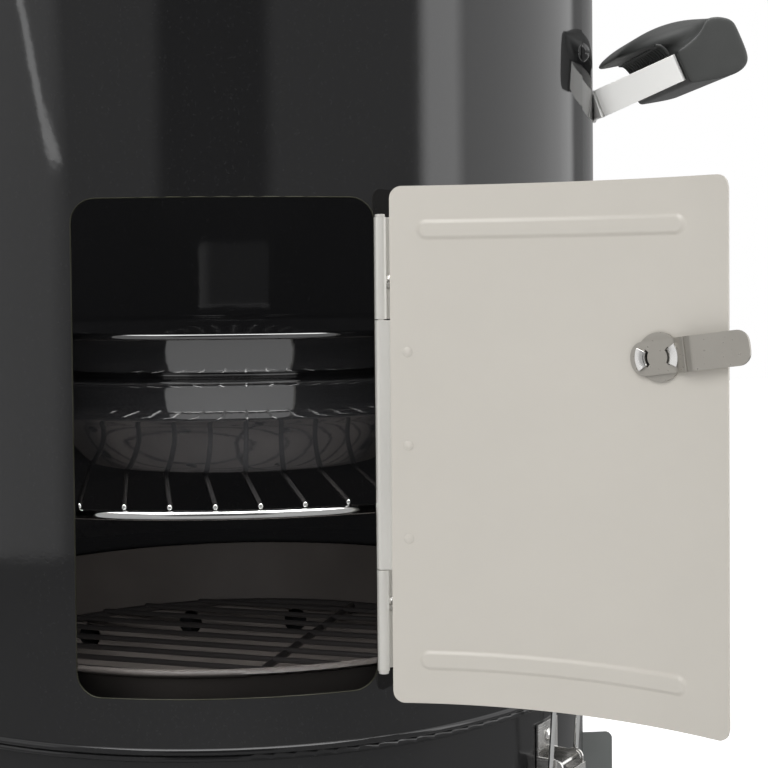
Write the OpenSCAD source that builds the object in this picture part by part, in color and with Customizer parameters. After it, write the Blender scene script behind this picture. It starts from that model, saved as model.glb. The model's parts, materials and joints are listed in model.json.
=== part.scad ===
// Upright charcoal water smoker: a base bowl on three legs, a barrel with a hinged
// fuel door, and a domed lid. Millimetres, +Z up. The origin is on the ground under
// the barrel's axis, and the fuel door faces -Y. The door stands open at rest.

/* [Sheet and fits] */
// Thickness of the steel sheet of the base, barrel and lid
sheet = 1.2; // [0.8:0.1:2]
// Gap left between pieces of one body that sit on each other
seat_gap = 0.15; // [0.1:0.05:0.3]
// Radial clearance of a pin or rivet in a piece that turns on it
turn_gap = 0.06; // [0.02:0.01:0.1]
// Clearance between pieces of different bodies that rest on each other
rest_gap = 0.3; // [0.2:0.05:0.5]
// Clearance of a fixing bolt in its hole
bolt_gap = 0.25; // [0.1:0.05:0.5]

/* [Base bowl] */
// How much narrower than the barrel the base bowl's wall is, each side
base_step = 8; // [6:0.5:14]
// Height of the base bowl's rim above the ground
base_top = 402.4; // [380:0.1:430]
// Depth of the base bowl
base_h = 140; // [120:1:160]
// Outside radius of the bowl's bottom corner
base_corner_r = 40; // [25:1:55]
// How much narrower than the barrel the base bowl's rim is, each side
base_rim_step = 0.5; // [0:0.1:1.5]
// Radius of the base rim's rolled edge
base_bead_r = 1.8; // [1:0.1:2]

/* [Base vent] */
// Diameter of each air hole in the base
vent_hole_d = 30; // [20:1:34]
// Radius of the circle that the air holes lie on
vent_hole_ring_r = 34; // [30:1:40]
// Number of air holes in the base
vent_holes = 3; // [3]
// Diameter of the base damper
damper_d = 112; // [108:1:130]
// Thickness of the base damper
damper_t = 1.5; // [1:0.1:2.5]
// Reach of the base damper's finger tab from its rivet
damper_tab_reach = 84; // [75:1:100]

/* [Legs] */
// Width of each side of a leg's steel angle
leg_w = 24.5; // [20:0.5:30]
// Thickness of a leg's steel
leg_t = 2; // [1.5:0.1:3]
// Height of a leg's top above the ground
leg_top = 338.7; // [325:0.1:350]
// Azimuth of the first leg, from the front towards the right
leg_turn = 90; // [80:1:100]
// Width of a leg's foot cap
cap_w = 36; // [32:1:44]
// Height of a leg's foot cap
cap_h = 16; // [12:1:24]

/* [Charcoal pan] */
// Outside radius of the charcoal pan's rim
fire_rim_r = 194.5; // [188:0.5:200]
// Height of the charcoal pan's rim above the ground
fire_rim_z = 436; // [428:0.5:444]
// Depth of the charcoal pan
fire_h = 114; // [100:1:120]
// Radius of the charcoal pan's flat floor
fire_floor_r = 106; // [95:1:118]
// Number of air holes around the charcoal pan
fire_holes = 14; // [10:1:16]
// Diameter of an air hole in the charcoal pan's wall
fire_hole_d = 17; // [12:1:20]

/* [Charcoal grate] */
// Height of the charcoal grate's ring above the ground
fire_grate_z = 393.6; // [390:0.1:397]
// Pitch of the charcoal grate's bars
fire_bar_pitch = 25; // [20:0.5:32]
// Diameter of the charcoal grate's bars
fire_bar_d = 4; // [3:0.5:5]
// Turn of the charcoal grate's bars from left to right
fire_grate_turn = -23; // [-45:1:45]

/* [Barrel] */
// Outside diameter of the barrel
barrel_d = 450; // [446:1:456]
// Height of the barrel
barrel_h = 444; // [434:1:470]
// Radius of the rolled beads at the barrel's ends
barrel_bead_r = 1.9; // [1.5:0.1:2.5]
// Width of the fuel opening, straight across
opening_w = 148.7; // [140:0.1:156]
// Height of the fuel opening
opening_h = 245; // [225:1:250]
// Height of the fuel opening's sill above the barrel's foot
opening_sill = 27.8; // [24:0.1:34]
// Azimuth of the fuel opening's middle
opening_turn = -1.3; // [-3:0.1:3]
// Corner radius of the fuel opening
opening_corner_r = 12; // [6:1:20]

/* [Door] */
// Thickness of the door's steel
door_t = 1.1; // [0.8:0.1:1.6]
// Gap between the closed door and the barrel
door_gap = 0.6; // [0.4:0.1:1]
// How far the door laps over the opening at the top and bottom
door_lap = 5; // [3:0.5:9]
// How far the door laps over the opening at its latch side
door_side_lap = 21.8; // [12:0.1:24]
// Corner radius of the door
door_corner_r = 6; // [3:0.5:12]
// Width of a stiffening rib pressed into the door
rib_w = 9; // [6:0.5:12]
// Depth of a stiffening rib
rib_depth = 1.4; // [0.8:0.1:2]
// Distance of each rib's middle from the door's top or bottom edge
rib_inset = 21.5; // [16:0.5:30]
// Distance from the hinge's axis to the near end of a rib
rib_start = 18.5; // [14:0.5:30]
// Distance from the latch edge of the door to the far end of a rib
rib_end = 22.5; // [22:0.5:30]
// Width of each sloped side of a rib
rib_slope = 1.8; // [1:0.1:3]
// Depth of the shallow field that the ribs are pressed in
rib_draw = 0.1; // [0.1:0.05:0.3]
// How far the door stands open at rest, in degrees
door_open = 153.6; // [90:0.1:175]

/* [Hinge] */
// Distance of the hinge's axis outside the barrel
hinge_out = 5; // [4.6:0.1:7]
// Distance of the hinge's axis beyond the opening's side, along the barrel
hinge_side = 1.1; // [0:0.1:6]
// Diameter of the hinge pin
hinge_pin_d = 3; // [2.5:0.1:3.4]
// Outside diameter of the hinge's knuckles
knuckle_d = 6; // [5.6:0.1:6.4]
// Length of the door's knuckle, in the middle of the hinge
knuckle_mid = 124.4; // [100:0.1:140]
// Length of each barrel knuckle, at the ends of the hinge
knuckle_end = 50.4; // [40:0.1:55]
// Gap between neighbouring knuckles
knuckle_gap = 0.5; // [0.3:0.1:1]
// Width of the hinge's leaves beyond the axis
leaf_w = 20; // [16:0.5:24]
// Thickness of the hinge's leaves
leaf_t = 1.2; // [1:0.1:1.5]
// Distance of each leaf bolt from the hinge's middle
leaf_bolt_z = 80.5; // [75:0.5:88]

/* [Door latch] */
// Distance of the latch's shaft from the hinge's axis, along the door
latch_s = 139.9; // [125:0.1:146]
// Height of the latch's shaft above the opening's middle
latch_up = 45; // [-60:1:60]
// Turn of the latch's tongue above level
latch_tilt = 7.4; // [0:0.1:15]
// Reach of the tongue from the shaft
tongue_reach = 48.3; // [44:0.1:54]
// Width of the tongue
tongue_w = 16; // [12:0.5:20]
// Thickness of the tongue
tongue_t = 1.5; // [1:0.1:2]
// How far the tongue's end is set inwards
tongue_set = 5.6; // [5.4:0.1:7]
// Diameter of the latch's washer
washer_d = 23; // [20:0.5:26]
// Diameter of the latch's shaft
latch_shaft_d = 14; // [13.6:0.1:16]
// Length of the latch's outside wing
wing_l = 46; // [36:1:60]
// How far the wing stands out from the door
wing_out = 24; // [18:1:32]

/* [Side handles] */
// Height of a side handle's root above the barrel's foot
handle_up = 336.3; // [320:0.1:350]
// Rise of a side handle from level, in degrees
handle_rise = 24.1; // [10:0.1:35]
// Width of a handle's steel strap
strap_w = 17; // [14:0.5:20]
// Thickness of a handle's steel strap
strap_t = 2; // [1.5:0.1:3]
// Distance between the outsides of a handle's two arms
strap_span = 116; // [100:1:130]
// Reach of a handle's arms from the barrel
strap_reach = 57.8; // [50:0.1:66]
// How far a grip reaches beyond its strap
grip_out = 41; // [34:0.5:50]
// Length of a grip
grip_l = 120; // [118:1:134]

/* [Grates and water pan] */
// Radius of the cooking grates' rings, to the middle of the wire
grate_r = 210.4; // [205:0.1:213]
// Diameter of the grates' ring wire
grate_ring_d = 5; // [4:0.5:6]
// Diameter of the grates' cross wires
grate_wire_d = 3.2; // [2.5:0.1:4]
// Pitch of the grates' cross wires
grate_pitch = 22.4; // [18:0.1:26]
// Turn of the lower grate on its brackets
lower_grate_turn = 3.3; // [0:0.1:15]
// Height of the lower grate's ring above the barrel's foot
lower_grate_up = 115.9; // [110:0.1:122]
// Height of the upper grate's ring above the barrel's foot
upper_grate_up = 374.8; // [365:0.1:380]
// Azimuth of the first grate bracket
bracket_turn = 64.3; // [60:0.1:70]
// Width of a grate bracket
bracket_w = 20; // [16:1:26]
// Reach of a grate bracket's shelf from the barrel's wall
bracket_reach = 24; // [18:1:26]
// Thickness of a grate bracket
bracket_t = 1.5; // [1:0.1:2.5]
// Drop from a bracket's shelf to its bolt
bracket_drop = 10; // [9:0.5:13]
// Outside radius of the water pan's rim
pan_rim_r = 200; // [192:0.5:203]
// Height of the water pan
pan_h = 84; // [76:0.5:90]
// Thickness of the water pan's sheet
pan_t = 1.2; // [0.8:0.1:2]

/* [Base latches] */
// Azimuth of the first base latch
toggle_turn = 52; // [48:0.5:60]
// Width between the outsides of a latch lever's cheeks
toggle_w = 27; // [24:0.5:32]
// Diameter of a latch's wire bail
bail_d = 3; // [2.5:0.1:3.5]
// Height of a latch's wire bail, from its pivot to its bar
bail_h = 58; // [54:0.5:62]
// Offset of the bail's pivot below the lever's pivot
toggle_throw = 12; // [10:0.5:13]

/* [Lid] */
// Height of the lid's dome above its ledge
dome_h = 150; // [120:1:170]
// Height of the lid's skirt below its ledge
skirt_h = 14; // [8:1:24]
// Azimuth of the lid's damper
lid_vent_turn = 180; // [120:1:240]
// Angle of the lid's damper from the top of the dome
lid_vent_tilt = 33; // [28:1:38]
// Diameter of each air hole in the lid
lid_hole_d = 16; // [12:0.5:17]
// Radius of the circle that the lid's air holes lie on
lid_hole_ring_r = 20; // [18.5:0.5:22]
// Radius of the lid's damper
lid_damper_r = 34; // [31:0.5:38]
// Distance between the outsides of the lid handle's legs
lid_handle_span = 116; // [100:1:126]
// Height of the lid handle's strap above the dome's top
lid_handle_h = 30; // [26:1:40]
// Width of the lid's grip
lid_grip_w = 34; // [28:1:40]
// Height of the lid's grip
lid_grip_h = 24; // [18:1:28]

/* [Thermometer] */
// Angle of the thermometer from the top of the dome
gauge_tilt = 42; // [36:1:48]
// Diameter of the thermometer's case
gauge_d = 62; // [50:1:70]
// Depth of the thermometer's case
gauge_h = 13; // [10:0.5:16]
// Diameter of the thermometer's threaded neck
gauge_neck_d = 10; // [8:0.5:12]
// Length of the thermometer's probe inside the lid
gauge_probe_l = 46; // [30:1:60]

/* [Hidden] */
$fn = 72;
eps = 0.5;

// Colours
enamel = [0.06, 0.06, 0.065];
chrome = [0.78, 0.78, 0.76];
satin = [0.72, 0.71, 0.68];
zinc = [0.62, 0.63, 0.62];
moulded = [0.13, 0.13, 0.13];
ash_grey = [0.3, 0.28, 0.26];

// Base
base_r = barrel_d / 2 - base_step;
base_floor = base_top - base_h;
base_rim_r = barrel_d / 2 - base_rim_step;

// Barrel
barrel_r = barrel_d / 2;
barrel_z = base_top + seat_gap;
barrel_top = barrel_z + barrel_h;
barrel_in_r = barrel_r - sheet;
opening_z = barrel_z + opening_sill;
opening_mid_z = opening_z + opening_h / 2;
opening_half = asin(opening_w / 2 / barrel_r);

// Hinge and door
hinge_turn = opening_turn + opening_half + deg(hinge_side, barrel_r);
hinge_r = barrel_r + hinge_out;
hinge_x = hinge_r * sin(hinge_turn);
hinge_y = -hinge_r * cos(hinge_turn);
hinge_z = opening_mid_z - knuckle_mid / 2 - knuckle_end;
hinge_l = knuckle_mid + 2 * knuckle_end;
door_r = barrel_r + door_gap;
door_h = opening_h + 2 * door_lap;
door_z = opening_z - door_lap;
door_left = opening_turn - opening_half - deg(door_side_lap, barrel_r);
door_right = hinge_turn - deg(knuckle_d / 2 + 1.8, door_r);
door_mid = (door_left + door_right) / 2;
latch_turn = hinge_turn - deg(latch_s, door_r);
latch_z = opening_mid_z + latch_up;

// Handles
handle_z = barrel_z + handle_up;
handle_root = sqrt(pow(barrel_r, 2) - pow(strap_span / 2, 2)) + strap_t / 2 + 1.5;
foot_w = 24;
foot_h = 24;
foot_turn = deg(strap_span / 2 - foot_w / 2, barrel_r);
m6 = 6;
m6_head_d = 11;
m6_nut_d = 11.5;
m4 = 4;
m4_head_d = 7.6;
m4_nut_d = 8.1;

// Grates
bracket_turns = [bracket_turn, 180 - bracket_turn, 180 + bracket_turn, -bracket_turn];
lower_ring_z = barrel_z + lower_grate_up;
upper_ring_z = barrel_z + upper_grate_up;
lower_shelf_z = lower_ring_z - grate_ring_d / 2 - rest_gap;
upper_shelf_z = upper_ring_z - grate_ring_d / 2 - rest_gap;
grate_top = grate_ring_d / 2 + grate_wire_d + seat_gap;
pan_z = lower_ring_z + grate_top + rest_gap;

// Legs: the tangential side of each angle lies on the base bowl
leg_turns = [leg_turn, leg_turn + 120, leg_turn + 240];
leg_bolt_drops = [9, 27];
leg_bolt_x = leg_w / 2 + 2;
leg_cap_floor = 4;

// Base latches, in a frame with its origin on the base bowl's wall
toggle_turns = [toggle_turn, toggle_turn + 120, toggle_turn + 240];
bar_play = 2.4;
hook_slot = bail_d + 2 * bar_play + 0.1;
catch_z = barrel_z + 2 * barrel_bead_r + 1.5;
catch_t = 1.5;
bar_y = base_step + seat_gap + catch_t + bar_play + bail_d / 2;
bar_z = catch_z + catch_t + bail_d / 2 + 0.5;
lever_over = 2;
lever_pivot_y = bar_y - 2;
lever_pivot_z = bar_z - bail_h + toggle_throw;
bail_pivot_y = lever_pivot_y - lever_over;
bail_pivot_z = lever_pivot_z - toggle_throw;
lever_l = 44;
pivot_d = 3;

// Lid: its ledge rests on the barrel's top bead
lid_z = barrel_top + rest_gap;
ledge_r = barrel_r - 3;
dome_r = (pow(ledge_r, 2) + pow(dome_h, 2)) / (2 * dome_h);
dome_c = lid_z + sheet + dome_h - dome_r;
skirt_r = barrel_r + 4.5;
lid_foot_x = lid_handle_span / 2 - strap_t / 2;
lid_foot_tilt = asin(lid_foot_x / dome_r);

function deg(len, r) = len / r * 180 / PI;
function arc(cx, cy, r, a0, a1, n) =
    [for (i = [0:n]) [cx + r * cos(a0 + (a1 - a0) * i / n), cy + r * sin(a0 + (a1 - a0) * i / n)]];

module at_azimuth(turn) rotate([0, 0, turn]) children();

// A frame on the barrel with +Z pointing out and +Y up
module outwards(turn, r, z) rotate([0, 0, turn]) translate([0, -r, z]) rotate([90, 0, 0]) children();

// A frame on the dome with +Z pointing out, tilted from the top towards an azimuth
module on_dome(tilt, turn, r) translate([0, 0, dome_c]) rotate([0, 0, turn]) rotate([tilt, 0, 0])
    translate([0, 0, r]) children();

// A frame in which the door is closed
module swing_door() translate([hinge_x, hinge_y, 0]) rotate([0, 0, door_open])
    translate([-hinge_x, -hinge_y, 0]) children();

// A frame on the hinge's axis: +X along the barrel to the right, -Y out
module at_hinge(z) translate([hinge_x, hinge_y, z]) rotate([0, 0, hinge_turn]) children();

module rounded(w, h, r) {
    square([w - 2 * r, h], center = true);
    square([w, h - 2 * r], center = true);
    for (x = [-1, 1], y = [-1, 1]) translate([x * (w / 2 - r), y * (h / 2 - r)]) circle(r);
}

module tube(d, bore, h) difference() {
    cylinder(d = d, h = h);
    translate([0, 0, -eps]) cylinder(d = bore, h = h + 2 * eps);
}

// Part of a round wall between two azimuths
module bent_wall(r, t, z, h, left, right)
    translate([0, 0, z]) rotate([0, 0, left - 90]) rotate_extrude(angle = right - left, $fn = 180)
        translate([r, 0]) square([t, h]);

// A whole round wall
module round_wall(r, t, z, h) rotate_extrude($fn = 180) translate([r, z]) square([t, h]);

module dome_head(d, h) intersection() {
    translate([0, 0, h - (pow(d / 2, 2) + h * h) / (2 * h)]) sphere((pow(d / 2, 2) + h * h) / (2 * h));
    cylinder(d = d, h = h);
}

// Bolt with its head above z = 0 and a screwdriver slot
module bolt(d, head, len) {
    difference() {
        dome_head(head, head * 0.32);
        translate([0, 0, head * 0.27]) cube([head + 1, head * 0.12, head * 0.2], center = true);
    }
    translate([0, 0, -len]) cylinder(d = d, h = len);
}

module nut(d, across) difference() {
    cylinder(d = across, h = d * 0.8, $fn = 6);
    translate([0, 0, -eps]) cylinder(d = d + 2 * seat_gap, h = d * 0.8 + 2 * eps);
}

module rivet(d, head, len) {
    dome_head(head, head * 0.25);
    translate([0, 0, -len]) cylinder(d = d, h = len + eps);
}

// ---- Base ----

function bowl_outline(r, z, top, corner) =
    concat([[0, z]], arc(r - corner, z + corner, corner, -90, 0, 10), [[r, top], [0, top]]);

module base_bowl() color(enamel) difference() {
    union() {
        rotate_extrude($fn = 180) difference() {
            polygon(bowl_outline(base_r, base_floor, base_top, base_corner_r));
            polygon(bowl_outline(base_r - sheet, base_floor + sheet, base_top + eps,
                base_corner_r - sheet));
        }
        rotate_extrude($fn = 180) {
            translate([base_r - sheet, base_top - sheet])
                square([base_rim_r - base_bead_r - base_r + sheet, sheet]);
            translate([base_rim_r - base_bead_r, base_top - base_bead_r]) circle(base_bead_r, $fn = 32);
        }
    }
    vent_pattern(vent_holes, vent_hole_ring_r, vent_hole_d, base_floor);
    translate([0, 0, base_floor - eps]) cylinder(d = m6 + 2 * turn_gap, h = sheet + 2 * eps);
    for (turn = leg_turns, drop = leg_bolt_drops)
        leg_bolt_place(turn, drop) translate([0, 0, -12]) cylinder(d = m6 + 2 * bolt_gap, h = 14);
    for (turn = toggle_turns) toggle_rivet_places(turn) translate([0, 0, -6])
        cylinder(d = 4 + 2 * bolt_gap, h = 8);
}

module vent_pattern(count, ring_r, d, z)
    for (i = [0:count - 1]) rotate([0, 0, i * 360 / count])
        translate([ring_r, 0, z - 4]) cylinder(d = d, h = 8);

module base_damper() color(zinc) {
    z = base_floor - rest_gap - damper_t;
    difference() {
        union() {
            translate([0, 0, z]) cylinder(d = damper_d, h = damper_t);
            translate([-9, -damper_tab_reach, z]) cube([18, damper_tab_reach, damper_t]);
            translate([-9, -damper_tab_reach, z - 12]) cube([18, damper_t, 12 + damper_t]);
        }
        vent_pattern(vent_holes, vent_hole_ring_r, vent_hole_d, z);
        translate([0, 0, z - eps]) cylinder(d = m6 + 2 * turn_gap, h = damper_t + 2 * eps);
    }
}

module base_damper_rivet() color(zinc) {
    under = base_floor - rest_gap - damper_t - rest_gap;
    translate([0, 0, under]) rotate([180, 0, 0]) dome_head(14, 3);
    translate([0, 0, under]) cylinder(d = m6, h = base_floor + sheet + seat_gap - under + eps);
    translate([0, 0, base_floor + sheet + seat_gap]) dome_head(14, 3);
}

// ---- Legs: steel angles bolted to the base bowl ----

module leg_place(turn) at_azimuth(turn) translate([0, -base_r - seat_gap, 0]) children();
module leg_bolt_place(turn, drop)
    leg_place(turn) translate([leg_bolt_x, -leg_t, leg_top - drop]) rotate([90, 0, 0]) children();

module leg(turn) color(zinc) difference() {
    leg_place(turn) {
        translate([-leg_t / 2, -leg_w, leg_cap_floor]) {
            cube([leg_t, leg_w, leg_top - leg_cap_floor - 4]);
            translate([0, 4, 0]) cube([leg_t, leg_w - 4, leg_top - leg_cap_floor]);
            translate([0, 4, leg_top - leg_cap_floor - 4]) rotate([0, 90, 0]) cylinder(r = 4, h = leg_t);
        }
        translate([-leg_t / 2, -leg_t, leg_cap_floor])
            cube([leg_w + leg_t, leg_t, leg_top - leg_cap_floor]);
    }
    for (drop = leg_bolt_drops) leg_bolt_place(turn, drop) translate([0, 0, -6])
        cylinder(d = m6 + 2 * bolt_gap, h = 9);
}
module leg_right() leg(leg_turns[0]);
module leg_rear() leg(leg_turns[1]);
module leg_front() leg(leg_turns[2]);

module leg_caps() color(moulded) for (turn = leg_turns) leg_place(turn) difference() {
    translate([leg_w / 2 - 1, -leg_w / 2 + 1, 0]) linear_extrude(cap_h) rounded(cap_w, cap_w, 6);
    translate([-leg_t / 2 - seat_gap, -leg_w - seat_gap, leg_cap_floor - seat_gap])
        cube([leg_t + 2 * seat_gap, leg_w + 2 * seat_gap, cap_h]);
    translate([-leg_t / 2 - seat_gap, -leg_t - seat_gap, leg_cap_floor - seat_gap])
        cube([leg_w + leg_t + 2 * seat_gap, leg_t + 2 * seat_gap, cap_h]);
}

module leg_bolts() color(zinc) for (turn = leg_turns, drop = leg_bolt_drops)
    leg_bolt_place(turn, drop) translate([0, 0, seat_gap]) bolt(m6, m6_head_d, leg_t + sheet + 11);

// The bowl's wall falls away from the flat of a leg at its bolts
module leg_nuts() color(zinc) for (turn = leg_turns, drop = leg_bolt_drops)
    leg_bolt_place(turn, drop) translate([0, 0, -leg_t - seat_gap - sheet - 1.1 - m6 * 0.8])
        nut(m6, m6_nut_d);

// ---- Charcoal pan and grate ----

fire_ring_d = 5;
fire_z = fire_rim_z - fire_h;
fire_curve = [
    [fire_floor_r, 0],
    [fire_floor_r + 24, 5],
    [fire_floor_r + 44, 18],
    [fire_floor_r + 60, 37],
    [fire_floor_r + 69, 55],
    [fire_floor_r + 74.5, 70],
    [fire_rim_r - 4, fire_h]
];
module fire_solid(inset, rise) rotate_extrude($fn = 144) translate([0, fire_z]) polygon(concat(
    [[0, inset]], [for (p = fire_curve) [p[0] - inset, p[1] + inset]],
    [[fire_rim_r - 4 - inset, fire_h + rise], [0, fire_h + rise]]));

module charcoal_pan() color(ash_grey) difference() {
    union() {
        difference() {
            fire_solid(0, 0);
            fire_solid(sheet, 1);
        }
        rotate_extrude($fn = 144) translate([fire_rim_r - 4 + seat_gap, fire_rim_z - 2])
            circle(2, $fn = 32);
    }
    for (i = [0:fire_holes - 1]) {
        outwards(180 + 11.5 + i * 360 / fire_holes, fire_floor_r + 70, fire_z + 58) rotate([20, 0, 0])
            translate([0, 0, -14]) cylinder(d = fire_hole_d, h = 30);
    }
    for (i = [0:3:fire_holes - 1])
        rotate([0, 0, 25 + i * 360 / fire_holes]) translate([0, -fire_floor_r * 0.6, fire_z - 4])
            cylinder(d = fire_hole_d, h = 12);
}

// Bent feet that carry the charcoal pan on the base bowl's floor
module charcoal_pan_feet() color(zinc) for (turn = [0, 120, 240]) at_azimuth(turn) {
    low = base_floor + sheet + rest_gap;
    high = fire_z - seat_gap;
    translate([-12, -fire_floor_r + 2, 0]) {
        translate([0, 0, low]) cube([24, 22, 2]);
        translate([0, 0, low]) cube([24, 2, high - low]);
        translate([0, 0, high - 2]) cube([24, 22, 2]);
    }
}

fire_wall_r = lookup(fire_grate_z - fire_z, [for (p = fire_curve) [p[1], p[0]]]);
fire_grate_r = fire_wall_r - sheet - fire_ring_d / 2 - rest_gap - 0.1;
module grate_ring(r, d, z) rotate_extrude($fn = 144) translate([r, z]) circle(d = d, $fn = 32);
module charcoal_grate_ring() color(enamel) grate_ring(fire_grate_r, fire_ring_d, fire_grate_z);
module charcoal_grate() color(enamel) translate([0, 0, fire_grate_z]) rotate([0, 0, fire_grate_turn]) {
    steps = floor((fire_grate_r - 4) / fire_bar_pitch);
    for (i = [-steps:steps])
        grate_wire(fire_grate_r, i * fire_bar_pitch, fire_bar_d,
            fire_ring_d / 2 + seat_gap + fire_bar_d / 2);
    rotate([0, 0, 92]) grate_wire(fire_grate_r - fire_ring_d / 2 - 1, -23.7, fire_ring_d, 0);
}

// A straight wire along X at y, with its ends on a ring of radius r
module grate_wire(r, y, d, z) translate([0, y, z]) rotate([0, 90, 0])
    cylinder(d = d, h = 2 * sqrt(r * r - y * y), center = true, $fn = 32);

// ---- Barrel ----

module barrel() color(enamel) difference() {
    union() {
        difference() {
            translate([0, 0, barrel_z + barrel_bead_r])
                cylinder(r = barrel_r, h = barrel_h - 2 * barrel_bead_r, $fn = 180);
            translate([0, 0, barrel_z - eps]) cylinder(r = barrel_in_r, h = barrel_h + 1, $fn = 180);
        }
        rotate_extrude($fn = 180) for (z = [barrel_z + barrel_bead_r, barrel_top - barrel_bead_r])
            translate([barrel_r - sheet / 2, z]) circle(barrel_bead_r, $fn = 32);
    }
    at_azimuth(opening_turn) translate([0, -barrel_r + 30, opening_mid_z]) rotate([90, 0, 0])
        linear_extrude(60) rounded(opening_w, opening_h, opening_corner_r);
    barrel_bolt_places() translate([0, 0, -5]) cylinder(d = m6 + 2 * bolt_gap, h = 10);
    leaf_bolt_places() translate([0, 0, -8]) cylinder(d = m4 + 2 * bolt_gap, h = 12);
    for (turn = toggle_turns) catch_rivet_places(turn) translate([0, 0, -6])
        cylinder(d = 4 + 2 * bolt_gap, h = 8);
}

// Bolts through the barrel: each frame's origin is on the barrel's outside
module bracket_bolt_places() for (turn = bracket_turns, z = [lower_shelf_z, upper_shelf_z])
    outwards(turn, barrel_r, z - bracket_drop) children();
module foot_bolt_places() for (side = [90, 270], turn = [-foot_turn, foot_turn])
    outwards(side + turn, barrel_r, handle_z) children();
module barrel_bolt_places() {
    bracket_bolt_places() children();
    foot_bolt_places() children();
}

module barrel_bolts() color(zinc) {
    bracket_bolt_places() translate([0, 0, seat_gap]) bolt(m6, m6_head_d, sheet + bracket_t + 8);
    foot_bolt_places() translate([0, 0, strap_t + 3 * seat_gap]) bolt(m6, m6_head_d, sheet + strap_t + 8);
}

module barrel_nuts() color(zinc) {
    bracket_bolt_places() translate([0, 0, -sheet - bracket_t - 3 * seat_gap - m6 * 0.8]) nut(m6, m6_nut_d);
    foot_bolt_places() translate([0, 0, -sheet - 3 * seat_gap - m6 * 0.8]) nut(m6, m6_nut_d);
}

module grate_bracket(turn, shelf_z) at_azimuth(turn) difference() {
    half = deg(bracket_w / 2, barrel_in_r);
    back = barrel_in_r - seat_gap;
    low = shelf_z - 2 * bracket_drop;
    rotate([0, 0, -half - 90]) rotate_extrude(angle = 2 * half, $fn = 180) polygon([
        [back, low], [back, shelf_z], [barrel_in_r - bracket_reach, shelf_z],
        [barrel_in_r - bracket_reach, shelf_z - bracket_t], [back - bracket_t, shelf_z - bracket_t],
        [back - bracket_t, low]]);
    outwards(0, barrel_r, shelf_z - bracket_drop) translate([0, 0, -8])
        cylinder(d = m6 + 2 * bolt_gap, h = 10);
}
module grate_brackets() color(zinc) for (turn = bracket_turns, z = [lower_shelf_z, upper_shelf_z])
    grate_bracket(turn, z);

// ---- Hinge ----

leaf_bolt_x = 7;
module leaf_bolt_places() for (z = [opening_mid_z - leaf_bolt_z, opening_mid_z + leaf_bolt_z], k = [0, 1])
    outwards(hinge_turn + deg(leaf_bolt_x + 8 * k, barrel_r), barrel_r,
        z + (z > opening_mid_z ? 16 : -16) * k)
        children();

module hinge_barrel_leaf() color(chrome) difference() {
    for (z = [hinge_z, hinge_z + knuckle_end + knuckle_mid])
        translate([0, 0, z]) {
            at_hinge(0) linear_extrude(knuckle_end) difference() {
                circle(d = knuckle_d, $fn = 48);
                circle(d = hinge_pin_d + 2 * turn_gap, $fn = 48);
            }
            at_hinge(0) linear_extrude(knuckle_end) difference() {
                polygon([[0, -knuckle_d / 2 + 0.2], [2.6, -0.5], [2.9, 2.6], [2.9, hinge_out - leaf_t],
                    [1.4, hinge_out - leaf_t]]);
                circle(d = hinge_pin_d + 2 * turn_gap, $fn = 48);
            }
            bent_wall(barrel_r + seat_gap, leaf_t, 0, knuckle_end,
                      hinge_turn + deg(1.4, barrel_r), hinge_turn + deg(leaf_w, barrel_r));
        }
    leaf_bolt_places() translate([0, 0, -8]) cylinder(d = m4 + 2 * bolt_gap, h = 12);
}

module hinge_bolts() color(chrome) leaf_bolt_places()
    translate([0, 0, leaf_t + 2 * seat_gap]) bolt(m4, m4_head_d, leaf_t + sheet + 9);
module hinge_nuts() color(chrome) leaf_bolt_places()
    translate([0, 0, -sheet - 3 * seat_gap - m4 * 0.8]) nut(m4, m4_nut_d);

module hinge_pin() color(chrome) at_hinge(0) {
    translate([0, 0, hinge_z - 1]) cylinder(d = hinge_pin_d, h = hinge_l + 2);
    translate([0, 0, hinge_z + hinge_l + seat_gap]) cylinder(d = knuckle_d - 1, h = 1.2);
    translate([0, 0, hinge_z - seat_gap - 1.2]) cylinder(d = knuckle_d - 1, h = 1.2);
}

door_leaf_left = hinge_turn - deg(leaf_w, door_r);
module hinge_door_leaf() color(chrome) swing_door() difference() {
    union() {
        at_hinge(hinge_z + knuckle_end + knuckle_gap) linear_extrude(knuckle_mid - 2 * knuckle_gap)
            union() {
                circle(d = knuckle_d, $fn = 48);
                polygon([[0, knuckle_d / 2 - 1.7],
                    [-4.4, hinge_out - door_gap - door_t - leaf_t - seat_gap + 0.1],
                         [-4.4, hinge_out - door_gap - door_t - seat_gap], [0, knuckle_d / 2]]);
            }
        bent_wall(door_r + door_t + seat_gap, leaf_t, hinge_z + knuckle_end + knuckle_gap,
                  knuckle_mid - 2 * knuckle_gap, door_leaf_left, hinge_turn - deg(3.4, door_r));
    }
    at_hinge(hinge_z) cylinder(d = hinge_pin_d + 2 * turn_gap, h = hinge_l);
    door_rivet_places() translate([0, 0, -3]) cylinder(d = 3.2 + 2 * bolt_gap, h = 8);
}

// ---- Door ----

module door_rivet_places() for (k = [-1, 0, 1])
    outwards(hinge_turn - deg(leaf_w * 0.66, door_r), door_r, opening_mid_z + k * 46) children();

module door_shape() at_azimuth(door_mid) translate([0, -door_r + 60, door_z + door_h / 2])
    rotate([90, 0, 0])
    linear_extrude(80) rounded(2 * door_r * sin((door_right - door_left) / 2), door_h, door_corner_r);

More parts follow.
